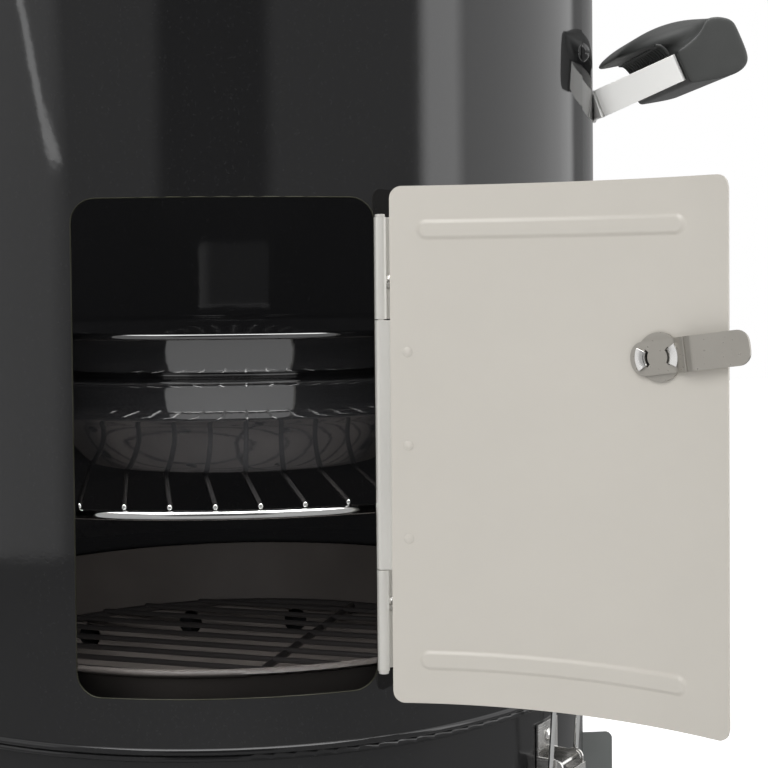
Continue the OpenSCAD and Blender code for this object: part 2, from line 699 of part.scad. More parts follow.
// Outline of the two ribs down one face of the sheet
rib_left = door_left + deg(rib_end, door_r);
rib_right = hinge_turn - deg(rib_start, door_r);
function rib_steps(face) = [
    for (z = [door_z + rib_inset, door_z + door_h - rib_inset]) each
        [[face, z - rib_w / 2], [face - rib_depth + rib_draw, z - rib_w / 2 + rib_slope],
         [face - rib_depth + rib_draw, z + rib_w / 2 - rib_slope], [face, z + rib_w / 2]]
];
module ribbed_wall(face, back, past, left, right)
    rotate([0, 0, left - 90]) rotate_extrude(angle = right - left, $fn = 180) polygon(concat(
        [[back, door_z - past], [face, door_z - past]], rib_steps(face),
        [[face, door_z + door_h + past], [back, door_z + door_h + past]]));

// The ribs are raised on the door's inside and hollow on its outside
module door_panel() color(satin) swing_door() difference() {
    union() {
        intersection() {
            round_wall(door_r, door_t, door_z - 1, door_h + 2);
            door_shape();
        }
        ribbed_wall(door_r - rib_draw, door_r + door_t / 2, 0, rib_left, rib_right);
    }
    ribbed_wall(door_r + door_t - rib_draw, door_r + 6, 1, rib_left + deg(door_t, door_r),
        rib_right - deg(door_t, door_r));
    door_rivet_places() translate([0, 0, -3]) cylinder(d = 3.2 + 2 * bolt_gap, h = 8);
    outwards(latch_turn, door_r, latch_z) translate([0, 0, -8])
        cylinder(d = latch_shaft_d + 2 * turn_gap, h = 16);
}

module door_rivets() color(chrome) swing_door() door_rivet_places() {
    outer = door_t + leaf_t + 3 * seat_gap;
    translate([0, 0, outer]) dome_head(6.4, 1.5);
    translate([0, 0, -seat_gap]) cylinder(d = 3.2, h = outer + 2 * seat_gap);
    translate([0, 0, -seat_gap]) rotate([180, 0, 0]) dome_head(5, 0.6);
}

// Frame on the latch's shaft: +Z out through the door, +X towards the hinge
module at_latch() swing_door() outwards(latch_turn, door_r, latch_z) rotate([0, 0, -latch_tilt]) children();

latch_seat = -0.6;
washer_t = 1.2;
tongue_z = latch_seat - washer_t - seat_gap - tongue_t;
module latch_washer() color(chrome) at_latch() translate([0, 0, latch_seat - washer_t])
    tube(washer_d, latch_shaft_d + 2 * seat_gap, washer_t);

module latch_tongue() color(chrome) at_latch() {
    step = 13;
    set = tongue_set;
    difference() {
        union() {
            translate([0, 0, tongue_z]) linear_extrude(tongue_t) {
                intersection() {
                    translate([1.5 - step, -tongue_w / 2]) square([step + 14, tongue_w]);
                    translate([-1, 0]) circle(15);
                }
            }
            translate([-step, tongue_w / 2, tongue_z]) rotate([90, 0, 0]) linear_extrude(tongue_w)
                polygon([[2, 0], [2, tongue_t], [-9, tongue_t - set], [-9, -set]]);
            translate([0, 0, tongue_z - set]) linear_extrude(tongue_t) {
                translate([-tongue_reach + 6, -tongue_w / 2])
                    square([tongue_reach - step - 14.5, tongue_w]);
                translate([-tongue_reach, -tongue_w / 2 + 6]) square([12, tongue_w - 12]);
                for (y = [-1, 1]) translate([-tongue_reach + 6, y * (tongue_w / 2 - 6)]) circle(6);
            }
        }
        for (a = [0, 180]) rotate([0, 0, a]) translate([5.2, -3.4, tongue_z - 1])
            cube([1.6, 6.8, tongue_t + 2]);
    }
}

// The wing's two prongs pass through the tongue's slots and are bent over
module latch_wing() color(enamel) at_latch() {
    outside = door_t + rest_gap;
    translate([0, 0, outside]) cylinder(d = 20, h = 4);
    translate([0, 0, latch_seat - washer_t])
        cylinder(d = latch_shaft_d, h = outside - latch_seat + washer_t + 2);
    translate([0, 0, outside + 3]) rotate([90, 0, 0]) linear_extrude(9, center = true)
        translate([0, (wing_out - 3) / 2]) rounded(wing_l, wing_out - 3, 7);
    for (a = [0, 180]) rotate([0, 0, a]) {
        translate([5.4, -2.6, tongue_z - 1]) cube([1.2, 5.2, tongue_t + seat_gap + washer_t + 1]);
        translate([5.4, -2.6, tongue_z - 1.1]) cube([5, 5.2, 1]);
    }
}

// ---- Side handles ----
// Frame of a side handle: +X along the barrel, +Y along the arms, +Z square to the strap
module at_handle(side) rotate([0, 0, side]) translate([0, -handle_root, handle_z])
    rotate([-handle_rise, 0, 0])
    mirror([0, 1, 0]) children();

module handle_strap(side) color(chrome) {
    half = strap_span / 2;
    difference() {
        union() {
            at_handle(side) {
                for (x = [-1, 1]) translate([x * (half - strap_t / 2), strap_reach / 2, 0])
                    cube([strap_t, strap_reach, strap_w], center = true);
                translate([0, strap_reach - strap_t / 2, 0]) cube([strap_span, strap_t, strap_w],
                    center = true);
            }
            for (turn = [-foot_turn, foot_turn]) outwards(side + turn, barrel_r + seat_gap * 2, handle_z)
                translate([0, 0, strap_t / 2]) cube([foot_w, foot_h, strap_t], center = true);
        }
        translate([0, 0, handle_z - strap_w]) cylinder(r = barrel_r + seat_gap, h = 2 * strap_w, $fn = 180);
        for (turn = [-foot_turn, foot_turn]) outwards(side + turn, barrel_r, handle_z)
            translate([0, 0, -2]) cylinder(d = m6 + 2 * bolt_gap, h = 8);
        at_handle(side) grip_screw_places() translate([0, 0, -2]) cylinder(d = m4 + 2 * bolt_gap, h = 8);
    }
}
module right_handle_strap() handle_strap(90);
module left_handle_strap() handle_strap(270);

// Screws through the strap's cross bar into the grip, heads towards the barrel
module grip_screw_places() for (x = [-1, 1])
    translate([x * strap_span * 0.3, strap_reach - strap_t, 0]) rotate([-90, 0, 0]) children();

// The grip across its length: a hooded bar with a finger hollow above the strap
grip_back = strap_reach + seat_gap;
grip_end = strap_reach + grip_out;
grip_bar = [
    [grip_back, strap_w / 2 + 14], [grip_back + 18, 24], [grip_end - 6, 15], [grip_end - 1, 11],
    [grip_end + 0.8, 0], [grip_end - 1, -11], [grip_end - 8, -16.5], [grip_end - 16, -18], [grip_back,
        -12.5]
];
grip_hood = concat(
    [[grip_back + 8, 24.6], [grip_back - 6, 24], [grip_back - 15, 22.5], [grip_back - 19, 20.6],
     [grip_back - 19, 17.8], [grip_back - 14, 18.2]],
    arc(grip_back - 6, strap_w / 2 + 5.4, 5.2, 90, -20, 6),
    [[grip_back + 4, strap_w / 2 + 0.6], [grip_back + 14, 0], [grip_back + 14, 20]]);

module handle_grip(side) color(moulded) difference() {
    at_handle(side) {
        rotate([90, 0, 90]) linear_extrude(grip_l, center = true) polygon(grip_bar);
        rotate([90, 0, 90]) linear_extrude(strap_span - 2 * strap_t - 4, center = true) polygon(grip_hood);
    }
    at_handle(side) grip_screw_places() translate([0, 0, -4]) cylinder(d = m4 + 2 * seat_gap, h = 24);
}
module right_handle_grip() handle_grip(90);
module left_handle_grip() handle_grip(270);

module grip_screws() color(zinc) for (side = [90, 270]) at_handle(side) grip_screw_places()
    mirror([0, 0, 1]) translate([0, 0, seat_gap]) bolt(m4, m4_head_d, 18);

// ---- Cooking grates and water pan ----

module wire_grate(z, turn) color(chrome) translate([0, 0, z]) rotate([0, 0, turn + 90]) {
    steps = floor((grate_r - 4) / grate_pitch);
    for (i = [-steps:steps])
        grate_wire(grate_r, i * grate_pitch, grate_wire_d, grate_ring_d / 2 + seat_gap + grate_wire_d / 2);
}
module lower_grate_ring() color(chrome) grate_ring(grate_r, grate_ring_d, lower_ring_z);
module upper_grate_ring() color(chrome) grate_ring(grate_r, grate_ring_d, upper_ring_z);
module lower_grate() wire_grate(lower_ring_z, lower_grate_turn);
module upper_grate() wire_grate(upper_ring_z, 0);

// Outside of the water pan from its flat bottom to its flange, with a pressed waist,
// and the step from each point across the sheet to the inside
pan_curve = [
    [pan_rim_r - 111, 0], [pan_rim_r - 96, 5], [pan_rim_r - 80, 18], [pan_rim_r - 69, 31],
    [pan_rim_r - 62, 38], [pan_rim_r - 48, 55.5], [pan_rim_r - 49.5, 57.8], [pan_rim_r - 56.5, 58.8],
    [pan_rim_r - 56, 61], [pan_rim_r - 37, pan_h - 4.5], [pan_rim_r - 33, pan_h - 2.6], [pan_rim_r - 2,
        pan_h - 2]
];
pan_steps = [
    [0, 1], [-0.5, 0.9], [-0.75, 0.7], [-0.85, 0.6], [-0.85, 0.6], [-1.1, -0.1],
    [-0.85, -1], [-1.2, -0.9], [-1.1, 0.35], [-0.75, 0.75], [-0.35, 1], [0, 1]
];
module water_pan() color(enamel) rotate_extrude($fn = 180) translate([0, pan_z]) {
    polygon(concat([[0, 0]], pan_curve,
                   [for (i = [len(pan_curve) - 1:-1:0]) pan_curve[i] + pan_t * pan_steps[i]], [[0,
                       pan_t]]));
    translate([pan_rim_r - 1.8, pan_h - 1.8]) circle(1.8, $fn = 32);
}

// ---- Base latches ----
// Frame of a base latch: origin on the base bowl's wall at the ground, -Y out
module at_toggle(turn) at_azimuth(turn) translate([0, -base_r - seat_gap, 0]) children();
ear_x = toggle_w / 2 - leaf_t - rest_gap;
ear_r = 4.4;

module toggle_rivet_places(turn) at_toggle(turn) for (z = [-12, 14])
    translate([0, -leaf_t, lever_pivot_z + z]) rotate([90, 0, 0]) children();
module catch_rivet_places(turn) at_azimuth(turn) for (x = [-8, 8])
    translate([x, -barrel_r - seat_gap - catch_t, catch_z + 14]) rotate([90, 0, 0]) children();

module toggle_plates() color(chrome) for (turn = toggle_turns) difference() {
    at_toggle(turn) {
        translate([-ear_x, -leaf_t, lever_pivot_z - 20]) cube([2 * ear_x, leaf_t, 42]);
        for (x = [-ear_x, ear_x - leaf_t]) translate([x, 0, lever_pivot_z]) {
            translate([0, -lever_pivot_y, 0]) rotate([0, 90, 0]) cylinder(r = ear_r, h = leaf_t);
            translate([0, -lever_pivot_y, -ear_r]) cube([leaf_t, lever_pivot_y, 2 * ear_r]);
        }
    }
    at_toggle(turn) translate([0, -lever_pivot_y, lever_pivot_z]) rotate([0, 90, 0])
        cylinder(d = pivot_d + 2 * turn_gap, h = toggle_w * 2, center = true);
    toggle_rivet_places(turn) translate([0, 0, -4]) cylinder(d = 4 + 2 * bolt_gap, h = 6);
}

// The lever folded down: two cheeks joined by a back, with a flared finger end
module toggle_lever(turn) color(chrome) at_toggle(turn) difference() {
    union() {
        for (x = [-toggle_w / 2, toggle_w / 2 - leaf_t]) translate([x, 0, 0]) rotate([90, 0, 90])
            linear_extrude(leaf_t)
            union() {
                translate([-lever_pivot_y, lever_pivot_z]) circle(5, $fn = 40);
                translate([-bail_pivot_y, bail_pivot_z]) circle(4, $fn = 40);
                polygon([[-lever_pivot_y - 5, lever_pivot_z], [-lever_pivot_y + 5, lever_pivot_z],
                         [-bail_pivot_y + 4, bail_pivot_z], [-bail_pivot_y + 3, bail_pivot_z - 12],
                         [-lever_pivot_y - 5, lever_pivot_z - lever_l + 10]]);
            }
        rotate([90, 0, 90]) linear_extrude(toggle_w, center = true)
            polygon([[-lever_pivot_y - 5, lever_pivot_z - 2], [-lever_pivot_y - 5 - leaf_t,
                lever_pivot_z - 2],
                     [-lever_pivot_y - 5 - leaf_t, lever_pivot_z - lever_l + 6],
                     [-lever_pivot_y - 11, lever_pivot_z - lever_l - 4], [-lever_pivot_y - 10,
                         lever_pivot_z - lever_l - 5],
                     [-lever_pivot_y - 5, lever_pivot_z - lever_l + 6]]);
    }
    translate([0, -lever_pivot_y, lever_pivot_z]) rotate([0, 90, 0])
        cylinder(d = pivot_d + 2 * turn_gap, h = toggle_w * 2, center = true);
    translate([0, -bail_pivot_y, bail_pivot_z]) rotate([0, 90, 0])
        cylinder(d = bail_d + 2 * turn_gap, h = toggle_w * 2, center = true);
}

// A quarter turn of wire, from +Z at the origin round to +X
module elbow(d, r) translate([r, 0, 0]) rotate([90, 0, 0]) rotate([0, 0, 90])
    rotate_extrude(angle = 90, $fn = 96) translate([r, 0]) circle(d = d, $fn = 32);

// Wire loop from the lever's cheeks up to the hook on the barrel
module toggle_bail(turn) color(chrome) at_toggle(turn) {
    bend = bail_d * 0.75;
    leg_x = toggle_w / 2 + bend + 0.1;
    long = sqrt(pow(bar_y - bail_pivot_y, 2) + pow(bar_z - bail_pivot_z, 2));
    translate([0, -bail_pivot_y, bail_pivot_z]) rotate([atan2(bar_y - bail_pivot_y,
        bar_z - bail_pivot_z), 0, 0]) {
        for (x = [0, 1]) mirror([x, 0, 0]) translate([-leg_x, 0, 0]) {
            translate([0, 0, bend]) cylinder(d = bail_d, h = long - 2 * bend, $fn = 32);
            translate([0, 0, long - bend]) elbow(bail_d, bend);
            translate([0, 0, bend]) mirror([0, 0, 1]) elbow(bail_d, bend);
            translate([bend, 0, 0]) rotate([0, 90, 0]) cylinder(d = bail_d, h = leaf_t + 0.3, $fn = 32);
        }
        translate([0, 0, long]) rotate([0, 90, 0]) cylinder(d = bail_d, h = 2 * (leg_x - bend),
            center = true, $fn = 32);
    }
}

// Hook riveted to the barrel that the bail pulls down on
module toggle_catches() color(chrome) for (turn = toggle_turns) difference() {
    at_azimuth(turn) translate([0, -barrel_r - seat_gap, catch_z]) rotate([90, 0, 90])
        linear_extrude(22, center = true) polygon([
            [0, 0], [0, 19], [-catch_t, 19], [-catch_t, catch_t],
            [-catch_t - hook_slot, catch_t], [-catch_t - hook_slot, 5.2],
            [-2 * catch_t - hook_slot, 5.6], [-2 * catch_t - hook_slot, 0]]);
    catch_rivet_places(turn) translate([0, 0, -4]) cylinder(d = 4 + 2 * bolt_gap, h = 6);
}

module toggle_rivets() color(chrome) for (turn = toggle_turns) {
    toggle_rivet_places(turn) translate([0, 0, seat_gap]) rivet(4, 7.5, leaf_t + sheet + 3);
    catch_rivet_places(turn) translate([0, 0, seat_gap]) rivet(4, 7.5, catch_t + sheet + 3);
    at_toggle(turn) translate([0, -lever_pivot_y, lever_pivot_z]) rotate([0, 90, 0])
        cylinder(d = pivot_d, h = toggle_w - 0.4, center = true, $fn = 32);
}

module toggle_lever_1() toggle_lever(toggle_turns[0]);
module toggle_lever_2() toggle_lever(toggle_turns[1]);
module toggle_lever_3() toggle_lever(toggle_turns[2]);
module toggle_bail_1() toggle_bail(toggle_turns[0]);
module toggle_bail_2() toggle_bail(toggle_turns[1]);
module toggle_bail_3() toggle_bail(toggle_turns[2]);

// ---- Lid ----

module dome_solid(r, low) intersection() {
    translate([0, 0, dome_c]) sphere(r, $fn = 144);
    translate([0, 0, low]) cylinder(r = dome_r + 10, h = dome_h + 30);
}

module lid() color(enamel) difference() {
    union() {
        difference() {
            dome_solid(dome_r, lid_z + sheet - 0.2);
            dome_solid(dome_r - sheet, lid_z - 1);
        }
        rotate_extrude($fn = 180) {
            translate([ledge_r - 3, lid_z]) square([skirt_r - ledge_r + 3, sheet]);
            translate([skirt_r - sheet, lid_z - skirt_h]) square([sheet, skirt_h + sheet]);
            translate([skirt_r - sheet / 2, lid_z - skirt_h]) circle(1.4, $fn = 32);
        }
    }
    on_dome(lid_vent_tilt, lid_vent_turn, dome_r) {
        vent_pattern(3, lid_hole_ring_r, lid_hole_d, 0);
        translate([0, 0, -6]) cylinder(d = 5 + 2 * turn_gap, h = 12);
    }
    on_dome(gauge_tilt, 0, dome_r) translate([0, 0, -6]) cylinder(d = gauge_neck_d + 2 * bolt_gap, h = 12);
    lid_bolt_places() translate([0, 0, -6]) cylinder(d = m6 + 2 * bolt_gap, h = 12);
}

// Feet of the lid's handle, on the dome to the left and right of its top
module lid_bolt_places() for (turn = [90, 270]) on_dome(lid_foot_tilt + 3.4, turn, dome_r) children();
lid_bar_z = dome_c + dome_r + lid_handle_h;

module lid_handle_strap() color(chrome) difference() {
    union() {
        translate([0, 0, lid_bar_z - strap_t / 2]) cube([lid_handle_span, strap_w, strap_t], center = true);
        for (x = [-1, 1]) translate([x * lid_foot_x, 0, 0])
            translate([-strap_t / 2, -strap_w / 2, dome_c + dome_r * cos(lid_foot_tilt) + 1])
                cube([strap_t, strap_w, lid_bar_z - dome_c - dome_r * cos(lid_foot_tilt) - 1]);
        for (turn = [90, 270]) on_dome(lid_foot_tilt + 2.9, turn, dome_r + 2 * seat_gap)
            translate([-strap_w / 2, -foot_w / 2 + 2, 0]) cube([strap_w, foot_w, strap_t]);
    }
    lid_bolt_places() translate([0, 0, -2]) cylinder(d = m6 + 2 * bolt_gap, h = 9);
    lid_grip_screw_places() translate([0, 0, -2]) cylinder(d = m4 + 2 * bolt_gap, h = 6);
}

module lid_grip_screw_places() for (x = [-1, 1]) translate([x * lid_handle_span * 0.3, 0,
    lid_bar_z - strap_t]) children();

module lid_grip_screws() color(zinc) lid_grip_screw_places()
    rotate([180, 0, 0]) translate([0, 0, seat_gap]) bolt(m4, m4_head_d, 16);

// The lid grip's section, as shares of its half width and its height
lid_grip_outline = [
    [-0.88, 0.08], [-0.7, 0], [0.7, 0], [0.88, 0.08], [1, 0.5],
    [0.82, 0.83], [0.35, 1], [-0.35, 1], [-0.82, 0.83], [-1, 0.5]
];
module lid_handle_grip() color(moulded) difference() {
    translate([0, 0, lid_bar_z + seat_gap]) rotate([90, 0, 90]) linear_extrude(grip_l, center = true)
        polygon([for (p = lid_grip_outline) [p[0] * lid_grip_w / 2, p[1] * lid_grip_h]]);
    lid_grip_screw_places() cylinder(d = m4 + 2 * seat_gap, h = lid_grip_h - 4);
}

module lid_bolts() color(zinc) lid_bolt_places() {
    translate([0, 0, strap_t + 3 * seat_gap + 0.1]) bolt(m6, m6_head_d, sheet + strap_t + 8);
    translate([0, 0, -sheet - 3 * seat_gap - m6 * 0.8]) nut_fused(m6, m6_nut_d);
}
module nut_fused(d, across) cylinder(d = across, h = d * 0.8, $fn = 6);

lid_damper_in = dome_r + rest_gap;
module lid_damper() color(zinc) on_dome(lid_vent_tilt, lid_vent_turn, 0) difference() {
    union() {
        intersection() {
            difference() {
                sphere(lid_damper_in + 1.2, $fn = 144);
                sphere(lid_damper_in, $fn = 144);
            }
            translate([0, 0, dome_r - 10]) cylinder(r = lid_damper_r, h = 20);
        }
        translate([-lid_damper_r + 1.5, -7, dome_r - 0.6]) cube([1.5, 14, 14]);
    }
    translate([0, 0, dome_r]) vent_pattern(3, lid_hole_ring_r, lid_hole_d, 0);
    translate([0, 0, dome_r - 6]) cylinder(d = 5 + 2 * turn_gap, h = 12);
}

module lid_damper_rivet() color(zinc) on_dome(lid_vent_tilt, lid_vent_turn, dome_r) {
    top = rest_gap + 1.2 + rest_gap;
    translate([0, 0, top]) dome_head(11, 2.6);
    translate([0, 0, -sheet - seat_gap]) cylinder(d = 5, h = top + sheet + seat_gap);
    translate([0, 0, -sheet - seat_gap]) rotate([180, 0, 0]) dome_head(9, 1.6);
}

// ---- Thermometer ----
gauge_seat = 3;
gauge_wall = 2;
module at_gauge() on_dome(gauge_tilt, 0, dome_r) children();

module thermometer_case() color(chrome) at_gauge() {
    difference() {
        translate([0, 0, gauge_seat]) cylinder(d = gauge_d, h = gauge_h, $fn = 96);
        translate([0, 0, gauge_seat + gauge_wall]) cylinder(d = gauge_d - 2 * gauge_wall, h = gauge_h,
            $fn = 96);
    }
    translate([0, 0, seat_gap]) cylinder(d = gauge_neck_d + 8, h = gauge_seat + 0.5);
    translate([0, 0, -sheet - 9]) cylinder(d = gauge_neck_d, h = sheet + 9 + gauge_seat);
    translate([0, 0, -gauge_probe_l]) cylinder(d = 5, h = gauge_probe_l);
    translate([0, 0, gauge_seat]) cylinder(d = 2, h = gauge_h - 5, $fn = 32);
}

dial_z = gauge_seat + gauge_wall + 3;
module thermometer_dial() color([0.92, 0.92, 0.9]) at_gauge() translate([0, 0, dial_z])
    tube(gauge_d - 2 * gauge_wall - 2 * seat_gap, 2 + 2 * seat_gap, 0.8);

module thermometer_needle() color([0.1, 0.1, 0.1]) at_gauge() translate([0, 0, dial_z + 1.3]) difference() {
    union() {
        cylinder(d = 7, h = 0.9);
        linear_extrude(0.7) polygon([[-1.6, 0], [1.6, 0], [0.4, gauge_d * 0.36], [-0.4, gauge_d * 0.36]]);
        linear_extrude(0.7) polygon([[-1, 0], [1, 0], [1.5, -8], [-1.5, -8]]);
    }
    translate([0, 0, -eps]) cylinder(d = 2 + 2 * turn_gap, h = 2, $fn = 32);
}

module thermometer_glass() color([0.85, 0.9, 0.92, 0.3]) at_gauge()
    translate([0, 0, gauge_seat + gauge_h - 2.6]) cylinder(d = gauge_d - 2 * gauge_wall - 2 * seat_gap,
        h = 1.8, $fn = 96);

module thermometer_nut() color(zinc) at_gauge() translate([0, 0, -sheet - 1 - 6])
    difference() {
        cylinder(d = 18, h = 6, $fn = 6);
        translate([0, 0, -eps]) cylinder(d = gauge_neck_d + 2 * seat_gap, h = 6 + 2 * eps);
    }

base_bowl();
base_damper();
base_damper_rivet();
leg_right();
leg_rear();
leg_front();
leg_caps();
leg_bolts();
leg_nuts();
charcoal_pan();
charcoal_pan_feet();
charcoal_grate_ring();
charcoal_grate();
barrel();
hinge_barrel_leaf();
hinge_pin();
hinge_bolts();
hinge_nuts();
door_panel();
hinge_door_leaf();
door_rivets();
latch_tongue();
latch_washer();
latch_wing();
right_handle_strap();
right_handle_grip();
left_handle_strap();
left_handle_grip();
grip_screws();
barrel_bolts();
barrel_nuts();
grate_brackets();
lower_grate_ring();
lower_grate();
water_pan();
upper_grate_ring();
upper_grate();
toggle_plates();
toggle_lever_1();
toggle_lever_2();
toggle_lever_3();
toggle_bail_1();
toggle_bail_2();
toggle_bail_3();
toggle_catches();
toggle_rivets();
lid();
lid_handle_strap();
lid_handle_grip();
lid_grip_screws();
lid_bolts();
lid_damper();
lid_damper_rivet();
thermometer_case();
thermometer_dial();
thermometer_glass();
thermometer_needle();
thermometer_nut();
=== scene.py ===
import json
import math

import bmesh
import bpy
from bpy.props import FloatProperty, FloatVectorProperty, IntProperty, PointerProperty
from mathutils import Matrix, Vector


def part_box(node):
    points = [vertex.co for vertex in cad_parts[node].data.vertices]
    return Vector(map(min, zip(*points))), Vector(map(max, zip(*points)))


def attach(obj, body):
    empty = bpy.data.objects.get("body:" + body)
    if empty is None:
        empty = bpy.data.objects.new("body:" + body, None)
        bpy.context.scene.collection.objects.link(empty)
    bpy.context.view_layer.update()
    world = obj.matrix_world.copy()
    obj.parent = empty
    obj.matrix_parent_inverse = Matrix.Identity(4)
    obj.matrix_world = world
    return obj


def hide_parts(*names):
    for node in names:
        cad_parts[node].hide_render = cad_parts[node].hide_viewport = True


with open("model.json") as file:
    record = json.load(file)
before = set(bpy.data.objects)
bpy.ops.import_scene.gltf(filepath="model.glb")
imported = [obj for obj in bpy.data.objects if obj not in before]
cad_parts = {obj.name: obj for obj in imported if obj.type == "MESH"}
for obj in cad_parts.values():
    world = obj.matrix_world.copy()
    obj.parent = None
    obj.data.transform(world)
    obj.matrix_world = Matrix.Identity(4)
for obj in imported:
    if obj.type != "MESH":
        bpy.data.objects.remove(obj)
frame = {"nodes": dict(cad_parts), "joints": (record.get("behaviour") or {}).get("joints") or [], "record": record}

bl_info = {
    "name": "Charcoal water smoker",
    "version": (1, 0, 0),
    "blender": (4, 5, 0),
    "location": "View3D > Sidebar > Smoker",
    "description": "Dresses the packed smoker with its finishes, grips, grates, lamps and floor",
    "category": "Object",
}

MM = 0.001
WELD = 1e-6  # points closer than this are one, in metres
NODES = frame["nodes"]
MATERIALS = {}
WHITE = (1, 1, 1, 1)


# ---- Mesh helpers ----


def link(obj):
    """Puts an object in the scene."""
    bpy.context.scene.collection.objects.link(obj)
    return obj


def turned_out(data, weld=True):
    """A mesh with its normals pointing out and, unless told not to, its doubled points welded."""
    bm = bmesh.new()
    bm.from_mesh(data)
    if weld:
        bmesh.ops.remove_doubles(bm, verts=bm.verts, dist=WELD)
    bmesh.ops.recalc_face_normals(bm, faces=bm.faces)
    bm.to_mesh(data)
    bm.free()


def mesh_object(name, points, faces, material, smooth=True):
    """A new piece from points in millimetres, with its normals pointing out."""
    data = bpy.data.meshes.new(name)
    data.from_pydata([Vector(p) * MM for p in points], [], faces)
    turned_out(data)
    for face in data.polygons:
        face.use_smooth = smooth
    data.materials.append(material)
    return link(bpy.data.objects.new(name, data))


def applied(obj):
    """The object's evaluated mesh as a plain mesh, with its modifiers gone."""
    bpy.context.view_layer.update()
    graph = bpy.context.evaluated_depsgraph_get()
    data = bpy.data.meshes.new_from_object(obj.evaluated_get(graph), depsgraph=graph)
    obj.modifiers.clear()
    old = obj.data
    obj.data = data
    if old.users == 0:
        bpy.data.meshes.remove(old)
    return obj


def soften(obj, width, segments=2, angle=40):
    """Rounds a piece's hard edges and keeps its flats flat."""
    edge = obj.modifiers.new("Rounded edges", "BEVEL")
    edge.width = width * MM
    edge.segments = segments
    edge.limit_method = "ANGLE"
    edge.angle_limit = math.radians(angle)
    edge.harden_normals = True
    for face in obj.data.polygons:
        face.use_smooth = True
    return applied(obj)


def smooth_skin(obj):
    """Turns a coarse cage into a smooth moulded skin."""
    skin = obj.modifiers.new("Smooth skin", "SUBSURF")
    skin.levels = skin.render_levels = 2
    return applied(obj)


def stand_for(obj, body, slot, *nodes):
    """Puts a piece on its body, in place of the solids named. The slot is not used."""
    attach(obj, body)
    if nodes:
        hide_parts(*nodes)
    return obj


def joint(name):
    """The frame's joint of that name."""
    return next(j for j in frame["joints"] if j["name"] == name)


def facing(place, out, tilt=0.0):
    """A frame at a place: +Z along out, +X level and to the right of someone who faces it."""
    out = Vector(out).normalized()
    across = Vector((0, 0, 1)).cross(out).normalized()
    up = out.cross(across)
    turn = Matrix((across, up, out)).transposed().to_4x4()
    return Matrix.Translation(place) @ turn @ Matrix.Rotation(tilt, 4, "Z")


def arc(centre, radius, start, end, count):
    """Points round a part of a circle, from one angle in degrees to another."""
    turns = [math.radians(start + (end - start) * i / (count - 1)) for i in range(count)]
    return [(centre[0] + radius * math.cos(t), centre[1] + radius * math.sin(t)) for t in turns]


def smooth(t):
    """A soft step from 0 to 1."""
    t = min(1.0, max(0.0, t))
    return t * t * (3 - 2 * t)


def spaced(start, end, step, tight, around, reach):
    """Values from start to end, a step apart, and closer together around the places named."""
    values, at = [start], start
    while at < end:
        near = any(abs(at - p) < reach or 0 < p - at < step + reach for p in around)
        at = min(end, at + (tight if near else step))
        values.append(at)
    return values


def smooth_path(points, steps):
    """A soft curve through points, with a few steps between each pair."""
    path = []
    for i in range(len(points) - 1):
        p = [points[max(0, i - 1)], points[i], points[i + 1], points[min(len(points) - 1, i + 2)]]
        for k in range(steps):
            t = k / steps
            spot = []
            for a, b, c, d in zip(*p):
                square, cube = 2 * a - 5 * b + 4 * c - d, 3 * b - a - 3 * c + d
                spot.append(0.5 * (2 * b + (c - a) * t + square * t**2 + cube * t**3))
            path.append(tuple(spot))
    return path + [points[-1]]


def offset_path(path, gap):
    """The path moved to its left by a gap."""
    moved = []
    for i, (x, y) in enumerate(path):
        x0, y0 = path[max(0, i - 1)]
        x1, y1 = path[min(len(path) - 1, i + 1)]
        length = math.hypot(x1 - x0, y1 - y0)
        moved.append((x - gap * (y1 - y0) / length, y + gap * (x1 - x0) / length))
    return moved


def loft(name, rings, material, at=None, closed=True, capped=True, smoothed=True):
    """A skin over rings of equal length; its rings are closed and its ends capped unless told not to."""
    size = len(rings[0])
    points = [p for ring in rings for p in ring]
    faces = []
    for i in range(len(rings) - 1):
        for k in range(size if closed else size - 1):
            n = (k + 1) % size
            faces.append((i * size + k, i * size + n, (i + 1) * size + n, (i + 1) * size + k))
    if capped:
        faces.append(tuple(range(size)))
        faces.append(tuple((len(rings) - 1) * size + k for k in range(size)))
    obj = mesh_object(name, points, faces, material, smoothed)
    if at is not None:
        obj.data.transform(at)
    return obj


def join(name, pieces):
    """One object from several, under a new name."""
    bm = bmesh.new()
    for piece in pieces:
        bm.from_mesh(piece.data)
    data = bpy.data.meshes.new(name)
    bm.to_mesh(data)
    bm.free()
    data.materials.append(pieces[0].data.materials[0])
    for piece in pieces:
        bpy.data.objects.remove(piece)
    return link(bpy.data.objects.new(name, data))


# ---- Node helpers ----


def plug(tree, socket, value):
    """Links a node's input to a socket, or sets it to a value."""
    if isinstance(value, bpy.types.NodeSocket):
        tree.links.new(value, socket)
    else:
        socket.default_value = value


def feed(tree, node, **inputs):
    """Plugs sockets or values into a node's named inputs."""
    for key, value in inputs.items():
        plug(tree, node.inputs[key.replace("_", " ")], value)


def add_node(tree, kind, settings=None, **inputs):
    """A node in a tree, with its settings and its named inputs."""
    node = tree.nodes.new(kind)
    for key, value in (settings or {}).items():
        setattr(node, key, value)
    feed(tree, node, **inputs)
    return node


def calc(tree, operation, *values, clamp=False):
    """The result of a Math node on sockets or values."""
    node = add_node(tree, "ShaderNodeMath", {"operation": operation, "use_clamp": clamp})
    for socket, value in zip(node.inputs, values):
        plug(tree, socket, value)
    return node.outputs[0]


# ---- Geometry Nodes trees ----


KINDS = {
    "length": "NodeSocketFloat",
    "count": "NodeSocketInt",
    "turn": "NodeSocketFloat",
    "material": "NodeSocketMaterial",
}


